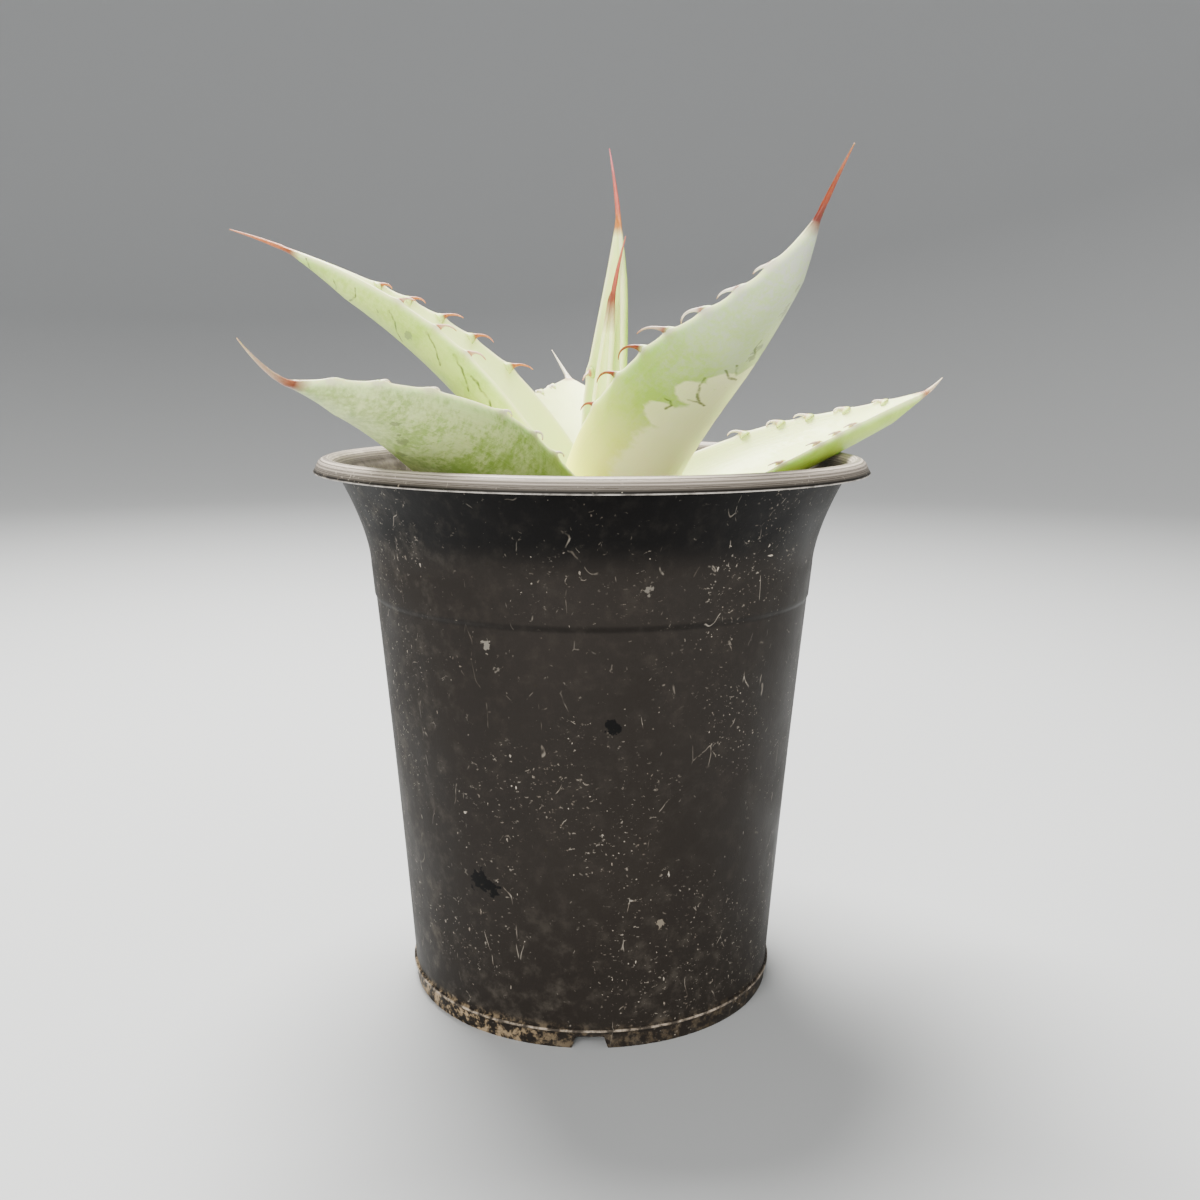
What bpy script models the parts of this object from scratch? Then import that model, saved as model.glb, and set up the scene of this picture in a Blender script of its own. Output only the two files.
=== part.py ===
"""Potted agave: a young rosette on a short stem, rooted in grit in a tapered nursery pot.

Metres, +Z up. The origin is on the pot's axis, on the surface that its foot stands on.
The foot's front notch faces -Y. A leaf's heading is the compass direction in which it
points, in degrees from +X towards +Y.
"""

import math
from collections import namedtuple

import bmesh
import bpy
import numpy as np
from mathutils import Matrix, Vector
from mathutils.bvhtree import BVHTree

# Pot: one thin moulding.
RIM_RADIUS = 0.060
RIM_CREST = 0.1187
SHOULDER_RADIUS = 0.04815
SHOULDER_DROP = 0.0227
LEDGE_DROP = 0.0297
LEDGE_STEP = 0.00025
FOOT_RADIUS = 0.0405
FOOT_HEIGHT = 0.0036
FOOT_WALL = 0.0015
WALL = 0.0012
WALL_BOW = 0.0003
FLARE_POWER = 1.55
FLARE_TOP_DROP = 0.0017
FLARE_END_DROP = 0.0032
FLANGE_WIDTH = 0.0040
# The rim's section from inside to outside: how far in from the lip, how far under the crest.
RIM_SECTION = [
    (0.0043, 0.0011), (0.0030, 0.0002), (0.0016, 0.0), (0.0008, 0.0004), (0.0003, 0.0013),
    (0.0, 0.0030), (0.0008, 0.0031), (0.0012, 0.0019), (0.0020, 0.0014), (0.0033, 0.0017),
]
FOOT_BEAD = 0.0005
FLOOR_CORNER = 0.0015
NOTCH_WIDTH = 0.0075
NOTCH_HEIGHT = 0.0026
NOTCH_TOP_SHARE = 0.78
NOTCHES = 4
DRAIN_RADIUS = 0.0040
DRAIN_CIRCLE = 0.0270
POT_STEPS = 40

# Growing mix and the stones that lie on it.
GAP = 0.0003
HEADSPACE = 0.0237
SOIL_WAVE = 0.0007
SOIL_CORNER = 0.0018
STONES = 12
STONE_SIZE = (0.0022, 0.0036)

# Stem and roots. The crown's base is where the oldest leaf bases meet the stem.
CROWN_DROP = 0.0237
STEM_RADIUS = 0.0070
STEM_TOP_RADIUS = 0.0040
STEM_ABOVE = 0.0090
STEM_BELOW = 0.0150
ROOTS = 6
ROOT_RADIUS = 0.0016
ROOT_DEPTH = 0.058

# Leaves. A leaf cupped by ROLLED_CUP degrees or more is a rolled bud, built solid.
LEAF_EDGE = 0.0008
LEAF_TIP_SHARE = 0.07
LEAF_THINNING = 0.55
ROOT_REACH = 0.12
ROLLED_CUP = 110
BLADE_STATIONS = 18
SPINE_STATIONS = 6
ACROSS = 5
SPINE_RADIUS = 0.0010
SPINE_POINT = 0.00012
SPINE_TURN_POWER = 0.4
TOOTH_RADIUS = 0.0009
TOOTH_ROOT = 0.0010
TOOTH_LEAN = 15
TOOTH_STATIONS = 4
TOOTH_SIDES = 4

# Lengths are metres, angles degrees, and teeth shares of the blade's length. Pairs run from
# root to tip. root is the distance from the pot's axis and the height over the crown's base;
# half is half the width at its widest; right and left are as seen looking out from the stem.
Leaf = namedtuple(
    "Leaf",
    "name heading sway root rise bow length half root_share widest cup roll thickness "
    "spine spine_turn right_teeth left_teeth tooth_length tooth_curl",
)
LEAVES = [
    Leaf("leaf_1", 97, -4, (0.0090, 0.0076), (46, 22), -10, 0.0700, 0.0150, 0.95, 0.46, (50, 20), (20, 1),
         0.0045, 0.0120, (28, 44), (0.45, 0.60, 0.75), (0.50, 0.64, 0.77, 0.88), 0.0036, 120),
    Leaf("leaf_2", 231, 5, (0.0108, 0.0064), (28, 10), 9, 0.0800, 0.0150, 0.84, 0.43, (55, 56), (32, -1),
         0.0042, 0.0150, (27, 15), (0.36, 0.50, 0.64, 0.77), (0.25, 0.36, 0.49, 0.70, 0.82, 0.92),
         0.0040, 125),
    Leaf("leaf_3", 10.5, 11, (0.0080, 0.0074), (25, 24), -3, 0.0775, 0.0130, 0.94, 0.50, (43, 40),
         (25, -4), 0.0042, 0.0064, (16, 8), (0.44, 0.56, 0.63, 0.69), (0.46, 0.58, 0.67, 0.78, 0.89),
         0.0036, 120),
    Leaf("leaf_4", 164, 3.5, (0.0062, 0.0108), (61, 28), -4, 0.0875, 0.0144, 0.95, 0.36, (64, 54), (2, 4),
         0.0042, 0.0157, (-12, 3), (0.40, 0.52, 0.61, 0.70, 0.78), (0.43, 0.53, 0.65), 0.0050, 95),
    Leaf("leaf_5", 309, 3, (0.0060, 0.0119), (59, 64), -24, 0.0802, 0.0142, 1.00, 0.53, (62, 48), (-43, 27),
         0.0039, 0.0142, (-7, 3), (0.24, 0.37, 0.50, 0.60, 0.71, 0.80, 0.88), (0.34, 0.47, 0.60, 0.72),
         0.0068, 95),
    Leaf("leaf_6", 71, -8, (0.0041, 0.0117), (73.5, 96), -8, 0.0634, 0.0060, 0.85, 0.37, (82, 80),
         (-5, -20), 0.0016, 0.0166, (-8, -20), (), (0.48,), 0.0026, 60),
    Leaf("leaf_7", 74, -20, (0.0006, 0.0118), (70, 84), 0, 0.0468, 0.0028, 0.95, 0.30, (115, 115), (0, 0),
         0.0008, 0.0142, (-9, -44), (), (), 0.0, 0),
]


# ---------------------------------------------------------------- scene and small tools

def clear_scene():
    for obj in list(bpy.data.objects):
        bpy.data.objects.remove(obj, do_unlink=True)
    for name in ("Potted agave", "Cutters"):
        bpy.context.scene.collection.children.link(bpy.data.collections.new(name))


def material(name, colour, roughness):
    made = bpy.data.materials.new(name)
    made.use_nodes = True
    shader = made.node_tree.nodes["Principled BSDF"]
    shader.inputs["Base Color"].default_value = (*colour, 1.0)
    shader.inputs["Roughness"].default_value = roughness
    shader.inputs["Metallic"].default_value = 0.0
    made.diffuse_color = (*colour, 1.0)
    return made


def object_of(name, mesh, finish):
    obj = bpy.data.objects.new(name, mesh)
    bpy.data.collections["Potted agave"].objects.link(obj)
    mesh.materials.clear()
    mesh.materials.append(finish)
    mesh.shade_smooth()
    mesh.set_sharp_from_angle(angle=math.radians(40))
    return obj


def cutter_of(name, mesh):
    obj = bpy.data.objects.new(name, mesh)
    bpy.data.collections["Cutters"].objects.link(obj)
    obj.hide_render = True
    obj.display_type = "WIRE"
    return obj


def mesh_of(name, work):
    """The bmesh as a mesh whose faces all point outwards."""
    bmesh.ops.recalc_face_normals(work, faces=work.faces)
    mesh = bpy.data.meshes.new(name)
    work.to_mesh(mesh)
    work.free()
    return mesh


def evaluated_mesh(obj):
    """The object's mesh with its modifiers applied, in the object's own space."""
    bpy.context.view_layer.update()
    graph = bpy.context.evaluated_depsgraph_get()
    return bpy.data.meshes.new_from_object(obj.evaluated_get(graph))


def boolean(obj, operation, other):
    change = obj.modifiers.new(f"{operation} {other.name}", "BOOLEAN")
    change.operation = operation
    change.object = other
    change.solver = "EXACT"


def keep_largest_piece(mesh):
    """Offcuts go: only the connected piece with the most faces stays."""
    work = bmesh.new()
    work.from_mesh(mesh)
    left, pieces = set(work.verts), []
    while left:
        piece, edge = set(), [left.pop()]
        while edge:
            vert = edge.pop()
            piece.add(vert)
            near = {link.other_vert(vert) for link in vert.link_edges} & left
            left -= near
            edge.extend(near)
        pieces.append(piece)
    largest = max(pieces, key=len)
    offcuts = [vert for piece in pieces if piece is not largest for vert in piece]
    bmesh.ops.delete(work, geom=offcuts, context="VERTS")
    work.to_mesh(mesh)
    work.free()
    return mesh


def turned(name, profile, steps):
    """A solid of revolution about Z: the profile runs down its outer side, top to bottom."""
    mesh = bpy.data.meshes.new(name)
    edges = [(i, i + 1) for i in range(len(profile) - 1)]
    mesh.from_pydata([(r, 0.0, z) for r, z in profile], edges, [])
    obj = bpy.data.objects.new(name, mesh)
    bpy.context.scene.collection.objects.link(obj)
    screw = obj.modifiers.new("Screw", "SCREW")
    screw.axis = "Z"
    screw.angle = 2 * math.pi
    screw.steps = screw.render_steps = steps
    screw.use_merge_vertices = True
    screw.merge_threshold = 0.00001
    solid = evaluated_mesh(obj)
    bpy.data.objects.remove(obj, do_unlink=True)
    return solid


def smooth_step(share):
    share = np.clip(share, 0.0, 1.0)
    return share * share * (3 - 2 * share)


def between(pair, share):
    """The value at a share of the way from root to tip; it holds its first value below the root."""
    return pair[0] + (pair[1] - pair[0]) * np.clip(share, 0.0, 1.0)


def directions(rise, heading):
    """Unit vectors with these angles over the ground and round the compass, in radians."""
    level = np.cos(rise)
    return np.stack([level * np.cos(heading), level * np.sin(heading), np.sin(rise)], -1)


def path_along(ways, step):
    """Points that start at the origin and advance by a step in the mean of each two directions."""
    return np.concatenate([np.zeros((1, 3)), np.cumsum((ways[1:] + ways[:-1]) * step / 2, 0)])


# ---------------------------------------------------------------- pot

def wall_radius(z):
    """Outer radius of the pot's side: a slightly hollow taper, a small ledge, then a flare."""
    shoulder = RIM_CREST - SHOULDER_DROP
    share = min(max((z - FOOT_HEIGHT) / (shoulder - FOOT_HEIGHT), 0.0), 1.0)
    taper = FOOT_RADIUS + (SHOULDER_RADIUS - FOOT_RADIUS) * share
    taper -= WALL_BOW * math.sin(math.pi * share)
    if z <= RIM_CREST - LEDGE_DROP:
        return taper
    flare_top = RIM_CREST - FLARE_TOP_DROP
    flare = min(max((z - shoulder) / (flare_top - shoulder), 0.0), 1.0)
    spread = RIM_RADIUS - FLANGE_WIDTH - SHOULDER_RADIUS
    return taper + LEDGE_STEP * (1 - flare) + spread * flare**FLARE_POWER


def inner_radius(z):
    return wall_radius(z) - WALL


def floor_top():
    return FOOT_HEIGHT + WALL


def wall_heights():
    """Heights of the side's rings, close together where it flares."""
    ledge = RIM_CREST - LEDGE_DROP
    shoulder = RIM_CREST - SHOULDER_DROP
    low, high = FOOT_HEIGHT + 2 * FOOT_BEAD, ledge - LEDGE_STEP
    taper = [low + (high - low) * share for share in (0.0, 0.10, 0.30, 0.52, 0.76, 1.0)]
    end = RIM_CREST - FLARE_END_DROP
    flare = [shoulder + (end - shoulder) * share for share in (0.0, 0.22, 0.44, 0.64, 0.83, 1.0)]
    return taper + [ledge + LEDGE_STEP] + flare


def pot_profile():
    """The half section: up the inside, over the rim, down the outside and in under the floor."""
    heights = wall_heights()
    floor = floor_top()
    inside = [(0.0, floor), (inner_radius(floor) - FLOOR_CORNER, floor)]
    inside += [(inner_radius(z), z) for z in [floor + FLOOR_CORNER] + heights[3:]]
    rim = [(RIM_RADIUS - inward, RIM_CREST - drop) for inward, drop in RIM_SECTION]
    outside = [(wall_radius(z), z) for z in reversed(heights)]
    foot = [
        (FOOT_RADIUS + FOOT_BEAD, FOOT_HEIGHT + FOOT_BEAD),
        (FOOT_RADIUS, FOOT_HEIGHT),
        (FOOT_RADIUS - FOOT_BEAD / 2, 0.0),
        (FOOT_RADIUS - FOOT_WALL, 0.0),
        (FOOT_RADIUS - FOOT_WALL, FOOT_HEIGHT),
        (0.0, FOOT_HEIGHT),
    ]
    return inside + rim + outside + foot


def notch_cutter(index):
    """A block across the foot ring, narrower at its top, for one drain notch."""
    work = bmesh.new()
    bmesh.ops.create_cube(work, size=1.0)
    depth = 4 * FOOT_WALL
    bmesh.ops.scale(work, vec=(NOTCH_WIDTH, depth, 2 * NOTCH_HEIGHT), verts=work.verts)
    top = [vert for vert in work.verts if vert.co.z > 0]
    bmesh.ops.scale(work, vec=(NOTCH_TOP_SHARE, 1.0, 1.0), verts=top)
    bmesh.ops.translate(work, vec=(0, -(FOOT_RADIUS - FOOT_WALL / 2), 0), verts=work.verts)
    turn = Matrix.Rotation(2 * math.pi * index / NOTCHES, 4, "Z")
    bmesh.ops.transform(work, matrix=turn, verts=work.verts)
    return cutter_of(f"notch_{index + 1}", mesh_of("notch", work))


def drain_cutter(index):
    """A cylinder through the floor: one in the middle, the rest on a circle."""
    work = bmesh.new()
    size = {"radius1": DRAIN_RADIUS, "radius2": DRAIN_RADIUS, "depth": 4 * WALL}
    bmesh.ops.create_cone(work, cap_ends=True, segments=16, **size)
    turn = 2 * math.pi * (index - 0.5) / NOTCHES
    away = DRAIN_CIRCLE if index else 0.0
    place = (away * math.cos(turn), away * math.sin(turn), FOOT_HEIGHT + WALL / 2)
    bmesh.ops.translate(work, vec=place, verts=work.verts)
    return cutter_of(f"drain_{index + 1}", mesh_of("drain", work))


def make_pot():
    plastic = material("black_plastic", (0.030, 0.028, 0.027), 0.62)
    pot = object_of("pot", turned("pot", pot_profile(), POT_STEPS), plastic)
    for index in range(NOTCHES):
        boolean(pot, "DIFFERENCE", notch_cutter(index))
    for index in range(NOTCHES + 1):
        boolean(pot, "DIFFERENCE", drain_cutter(index))
    return pot


# ---------------------------------------------------------------- stem, roots and growing mix

def soil_top():
    return RIM_CREST - HEADSPACE


def crown_base():
    return RIM_CREST - CROWN_DROP


def soil_height(x, y):
    """Height of the mix's uneven surface, level at the wall."""
    share = 1 - np.clip(np.hypot(x, y) / inner_radius(soil_top()), 0, 1) ** 4
    ripple = np.sin(210 * x + 1.3) * np.cos(240 * y - 0.4) + 0.6 * np.sin(400 * x - 330 * y)
    return soil_top() + SOIL_WAVE * share * ripple


def root_curve(index, grow):
    """One root: a tapering tube that runs out, sags down and wanders a little."""
    turn = 2 * math.pi * (index + 0.4) / ROOTS
    reach = inner_radius(floor_top()) * (0.52 + 0.16 * math.sin(2.1 * index))
    curve = bpy.data.curves.new(f"root_{index + 1}", "CURVE")
    curve.dimensions = "3D"
    curve.bevel_depth = ROOT_RADIUS
    curve.bevel_resolution = 1
    curve.use_fill_caps = True
    count = 8
    spline = curve.splines.new("POLY")
    spline.points.add(count - 1)
    start = STEM_RADIUS * 0.45
    for step, point in enumerate(spline.points):
        share = step / (count - 1)
        away = start + (reach - start) * share**0.8
        bend = turn + 0.35 * math.sin(3.2 * share + index)
        z = soil_top() - STEM_BELOW * 0.55 - ROOT_DEPTH * share**1.35
        point.co = (away * math.cos(bend), away * math.sin(bend), z, 1.0)
        point.radius = 1.0 - 0.6 * share + grow / ROOT_RADIUS
    obj = bpy.data.objects.new(f"root_{index + 1}", curve)
    bpy.context.scene.collection.objects.link(obj)
    work = bmesh.new()
    work.from_mesh(evaluated_mesh(obj))
    bmesh.ops.remove_doubles(work, verts=work.verts, dist=0.00001)
    bpy.data.objects.remove(obj, do_unlink=True)
    return cutter_of(f"root_{index + 1}", mesh_of("root", work))


def stem_mesh(grow):
    """The turned stem, wider by grow all round, with its roots joined on."""
    top, bottom = crown_base() + STEM_ABOVE, soil_top() - STEM_BELOW
    profile = [
        (0.0, top + grow),
        (STEM_TOP_RADIUS * 0.6 + grow, top - STEM_ABOVE * 0.07 + grow),
        (STEM_TOP_RADIUS + grow, top - STEM_ABOVE * 0.28),
        (STEM_RADIUS * 0.85 + grow, top - STEM_ABOVE * 0.78),
        (STEM_RADIUS + grow, crown_base() - STEM_BELOW * 0.13),
        (STEM_RADIUS * 0.9 + grow, soil_top() - STEM_BELOW * 0.6),
        (STEM_RADIUS * 0.45 + grow, bottom + STEM_BELOW * 0.1),
        (0.0, bottom - grow),
    ]
    stem = cutter_of("stem", turned("stem", profile, 20))
    roots = [root_curve(index, grow) for index in range(ROOTS)]
    for root in roots:
        boolean(stem, "UNION", root)
    joined = evaluated_mesh(stem)
    bpy.data.objects.remove(stem, do_unlink=True)
    for root in roots:
        bpy.data.objects.remove(root, do_unlink=True)
    return joined


def make_stem():
    bark = material("stem_tissue", (0.55, 0.47, 0.33), 0.7)
    return object_of("stem_and_roots", stem_mesh(0.0), bark)


def make_soil():
    """The mix fills the pot up to the headspace, cut clear of the stem and roots."""
    mix = material("grit_mix", (0.36, 0.27, 0.19), 0.95)
    top, bottom = soil_top(), floor_top() + GAP
    corner = SOIL_CORNER
    heights = [z for z in wall_heights() if bottom + corner < z < top - corner] + [top]
    rings = [inner_radius(top) * share for share in (0.86, 0.68, 0.50, 0.34, 0.20)]
    profile = [(0.0, top)] + [(r, top) for r in reversed(rings)]
    profile += [(inner_radius(z) - GAP, z) for z in reversed(heights)]
    profile += [(inner_radius(bottom + corner) - GAP, bottom + corner)]
    profile += [(inner_radius(bottom) - GAP - corner, bottom), (0.0, bottom)]
    mesh = turned("soil", profile, POT_STEPS)
    for vert in mesh.vertices:
        if vert.co.z > top - 1e-6:
            vert.co.z = float(soil_height(vert.co.x, vert.co.y))
    soil = object_of("soil", mesh, mix)
    boolean(soil, "DIFFERENCE", cutter_of("stem_and_roots_cutter", stem_mesh(GAP)))
    return soil


def height_to_rest(work, place, ground):
    """How far up the shape goes for every corner and face centre of it to clear the ground."""
    probes = [vert.co for vert in work.verts] + [face.calc_center_median() for face in work.faces]
    lifts = []
    for probe in probes:
        above = Vector((probe.x + place.x, probe.y + place.y, 1.0))
        hit = ground.ray_cast(above, Vector((0, 0, -1)))[0]
        if hit is not None:
            lifts.append(hit.z - probe.z)
    return max(lifts) + GAP


def make_stones(soil):
    """Loose stones, each an uneven ball that rests on the mix near the wall or between leaves."""
    pumice = material("pumice", (0.62, 0.56, 0.47), 0.95)
    ground = BVHTree.FromObject(soil, bpy.context.evaluated_depsgraph_get())
    rng = np.random.default_rng(7)
    for index in range(STONES):
        turn = 2 * math.pi * (index + 0.3 * rng.random()) / STONES
        away = inner_radius(soil_top()) * rng.uniform(0.62, 0.80)
        size = rng.uniform(*STONE_SIZE)
        squash = rng.uniform(0.65, 1.0, 3)
        work = bmesh.new()
        bmesh.ops.create_icosphere(work, subdivisions=2, radius=size)
        phase = rng.uniform(0, 6, 3)
        for vert in work.verts:
            x, y, z = vert.co / size
            lump = 1 + 0.13 * math.sin(3 * x + phase[0])
            lump += 0.11 * math.sin(4 * y + phase[1]) * math.cos(3 * z + phase[2])
            vert.co = vert.co * Vector(squash) * lump
        place = Vector((away * math.cos(turn), away * math.sin(turn), 0.0))
        place.z = height_to_rest(work, place, ground)
        bmesh.ops.translate(work, vec=place, verts=work.verts)
        object_of(f"stone_{index + 1:02d}", mesh_of("stone", work), pumice)


# ---------------------------------------------------------------- leaves

def blade_frame(leaf, shares):
    """Midline points with unit vectors along, left across and up, at shares of the length.

    The direction turns from root to tip in heading and in rise, and is summed in small
    steps. Below the root the midline runs straight back towards the stem.
    """
    fine = np.linspace(-ROOT_REACH, 1.0, 225)
    grown = np.clip(fine, 0.0, 1.0)
    heading = leaf.heading + leaf.sway * grown**1.5
    rise = between(leaf.rise, grown) + leaf.bow * 4 * grown * (1 - grown)
    along = directions(np.radians(rise), np.radians(heading))
    path = path_along(along, leaf.length * (fine[1] - fine[0]))
    start = math.radians(leaf.heading)
    away, height = leaf.root
    root = (away * math.cos(start), away * math.sin(start), crown_base() + height)
    at_root = [np.interp(0.0, fine, path[:, axis]) for axis in range(3)]
    path = path - np.array(at_root) + np.array(root)

    def sample(values):
        return np.stack([np.interp(shares, fine, values[:, axis]) for axis in range(3)], -1)

    points, along = sample(path), sample(along)
    along /= np.linalg.norm(along, axis=1)[:, None]
    flat = np.radians(leaf.heading + leaf.sway * np.clip(shares, 0, 1) ** 1.5)
    across = np.stack([-np.sin(flat), np.cos(flat), 0 * flat], -1)
    up = np.cross(along, across)
    roll = np.radians(between(leaf.roll, shares))[:, None]
    rolled_across = across * np.cos(roll) + up * np.sin(roll)
    rolled_up = up * np.cos(roll) - across * np.sin(roll)
    return points, along, rolled_across, rolled_up


def half_width(leaf, shares):
    """Swells from the root to its widest, then narrows in a hollow curve to the spine."""
    below = leaf.root_share + (1 - leaf.root_share) * smooth_step(shares / leaf.widest)
    over = np.clip((shares - leaf.widest) / (1 - leaf.widest), 0, 1)
    above = 1 - (1 - LEAF_TIP_SHARE) * over**1.55
    return leaf.half * np.where(shares < leaf.widest, below, above)


def blade_rings(leaf, shares, grow=0.0, filled=False):
    """Closed rings of points round the blade: the upper face right to left, then the lower back.

    The upper face is an arc across the gutter. The lower face lies under it by a thickness
    that is greatest at the midline. A filled blade has its gutter closed by a straight line.
    """
    shares = np.asarray(shares, float)
    points, _, across, up = blade_frame(leaf, shares)
    half = half_width(leaf, shares)
    cup = np.radians(between(leaf.cup, shares))
    side = np.linspace(-1.0, 1.0, ACROSS)
    bend = cup[:, None] * side
    radius = (half / cup)[:, None]
    sideways, upward = radius * np.sin(bend), radius * (1 - np.cos(bend))
    thick = leaf.thickness * (1 - LEAF_THINNING * np.clip(shares, 0, 1))
    thick = thick * np.minimum(1, 2.2 * half / leaf.half)
    depth = LEAF_EDGE + thick[:, None] * (1 - np.abs(side) ** 2.4)
    under_side = sideways + (depth + grow) * np.sin(bend)
    under_up = upward - (depth + grow) * np.cos(bend)
    over_side, over_up = sideways - grow * np.sin(bend), upward + grow * np.cos(bend)
    if filled:
        over_up = np.broadcast_to(upward.max(1)[:, None] + grow, over_up.shape)
        over_side = (radius * np.sin(cup)[:, None] + grow) * side
    ring_side = np.concatenate([over_side, under_side[:, ::-1]], 1)
    ring_up = np.concatenate([over_up, under_up[:, ::-1]], 1)
    return points[:, None] + across[:, None] * ring_side[..., None] + up[:, None] * ring_up[..., None]


def spine_rings(leaf, last_ring, grow):
    """Rings of the terminal spine: the blade's last ring becomes a circle that tapers to a point."""
    point, along, across, up = (values[-1] for values in blade_frame(leaf, np.array([1.0])))
    share = np.linspace(0.0, 1.0, SPINE_STATIONS + 1)
    turned_share = share**SPINE_TURN_POWER
    rise = math.asin(along[2]) + math.radians(leaf.spine_turn[0]) * turned_share
    heading = math.atan2(along[1], along[0]) + math.radians(leaf.spine_turn[1]) * turned_share
    path = point + path_along(directions(rise, heading), leaf.spine / SPINE_STATIONS)
    path = path - up * LEAF_EDGE * 0.6 * np.minimum(1, 4 * share)[:, None]
    shape = last_ring - point
    part = 0.2
    over = np.linspace(np.pi - part, part, ACROSS)
    angles = np.concatenate([over, -over[::-1]])
    rings = []
    for place, at in list(zip(path, share))[1:]:
        radius = SPINE_RADIUS + (SPINE_POINT - SPINE_RADIUS) * at**0.8 + grow
        circle = radius * (np.cos(angles)[:, None] * across + np.sin(angles)[:, None] * up)
        mix = min(1.0, at * 2.5)
        rings.append(place + circle * mix + shape * (1 - mix) * (1 - at))
    return np.array(rings)


def lofted(name, rings, strip_cap):
    """Faces between rings. The first end is closed by a strip, the last by a fan."""
    work = bmesh.new()
    rows = [[work.verts.new(point) for point in ring] for ring in rings]
    count = len(rows[0])
    for lower, upper in zip(rows, rows[1:]):
        for i in range(count):
            j = (i + 1) % count
            work.faces.new((lower[i], lower[j], upper[j], upper[i]))
    if strip_cap:
        first = rows[0]
        for i in range(count // 2 - 1):
            work.faces.new((first[i], first[count - 1 - i], first[count - 2 - i], first[i + 1]))
    else:
        work.faces.new(reversed(rows[0]))
    work.faces.new(rows[-1])
    bmesh.ops.triangulate(work, faces=work.faces)
    return mesh_of(name, work)


def blade_mesh(leaf):
    shares = np.concatenate([[-ROOT_REACH, -ROOT_REACH / 2], np.linspace(0, 1, BLADE_STATIONS)])
    blade = blade_rings(leaf, shares, filled=leaf.cup[0] >= ROLLED_CUP)
    return lofted(leaf.name, np.concatenate([blade, spine_rings(leaf, blade[-1], 0.0)]), True)


def blade_cutter(leaf):
    """The blade with its gutter filled and GAP all round, which older leaves are cut with."""
    shares = np.concatenate([[-ROOT_REACH * 1.5], np.linspace(0, 1, BLADE_STATIONS)])
    blade = blade_rings(leaf, shares, GAP, True)
    rings = np.concatenate([blade, spine_rings(leaf, blade[-1], GAP)])
    return cutter_of(f"{leaf.name}_cutter", lofted("blade_cutter", rings, True))


def tooth_mesh(leaf, share, side):
    """One marginal tooth: a tapering hook that leaves the margin and curls back to the root."""
    point, along, across, up = (values[0] for values in blade_frame(leaf, np.array([share])))
    cup = math.radians(between(leaf.cup, share))
    radius = float(half_width(leaf, np.array([share]))[0]) / cup
    sideways, upward = radius * math.sin(cup), radius * (1 - math.cos(cup))
    outward = across * side * math.cos(cup) + up * math.sin(cup)
    margin = point + across * side * sideways + up * upward
    flat = np.cross(outward, along)
    length = leaf.tooth_length * (0.55 + 0.45 * math.sin(math.pi * min(share * 1.1, 1.0)))
    steps = np.linspace(0.0, 1.0, TOOTH_STATIONS)
    lean = np.radians(TOOTH_LEAN + leaf.tooth_curl * steps)[:, None]
    ways = np.cos(lean) * outward - np.sin(lean) * along
    path = margin - outward * TOOTH_ROOT
    path = path + path_along(ways, (length + TOOTH_ROOT) / (TOOTH_STATIONS - 1))
    angles = np.linspace(0, 2 * np.pi, TOOTH_SIDES, endpoint=False)[:, None]
    rings = []
    for at, place, way in zip(steps, path, ways):
        wide = TOOTH_RADIUS * (1.35 - 1.2 * at**0.5)
        normal = np.cross(way, flat)
        rings.append(place + wide * (np.cos(angles) * normal + 0.55 * np.sin(angles) * flat))
    return lofted("tooth", rings, False)


def make_leaf(leaf, finish, younger_cutters):
    """The blade with its teeth joined on, cut clear of what it clasps."""
    draft = cutter_of(f"{leaf.name}_draft", blade_mesh(leaf))
    helpers = []
    for side, shares in ((-1, leaf.right_teeth), (1, leaf.left_teeth)):
        for share in shares:
            helpers.append(cutter_of("tooth", tooth_mesh(leaf, share, side)))
            boolean(draft, "UNION", helpers[-1])
    for cutter in younger_cutters:
        boolean(draft, "DIFFERENCE", cutter)
    mesh = keep_largest_piece(evaluated_mesh(draft))
    for helper in helpers + [draft]:
        bpy.data.objects.remove(helper, do_unlink=True)
    return object_of(leaf.name, mesh, finish)


def ground_cutter():
    """A disc that reaches just over the highest ripple of the mix, on which leaf bases sit."""
    height = soil_top() + SOIL_WAVE * 1.6 + GAP
    radius = inner_radius(soil_top())
    size = {"radius1": radius, "radius2": radius, "depth": height}
    work = bmesh.new()
    bmesh.ops.create_cone(work, cap_ends=True, segments=24, **size)
    bmesh.ops.translate(work, vec=(0, 0, height / 2), verts=work.verts)
    return cutter_of("ground", mesh_of("ground", work))


def make_leaves():
    green = material("leaf", (0.46, 0.58, 0.36), 0.5)
    below = [cutter_of("stem_cutter", stem_mesh(GAP)), ground_cutter()]
    cutters = [blade_cutter(leaf) for leaf in LEAVES]
    for index, leaf in enumerate(LEAVES):
        make_leaf(leaf, green, cutters[index + 1 :] + below)


def main():
    clear_scene()
    make_pot()
    soil = make_soil()
    make_stem()
    make_stones(soil)
    make_leaves()


main()
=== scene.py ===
import math

import bpy
import numpy as np
from mathutils import Matrix, Vector


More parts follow.
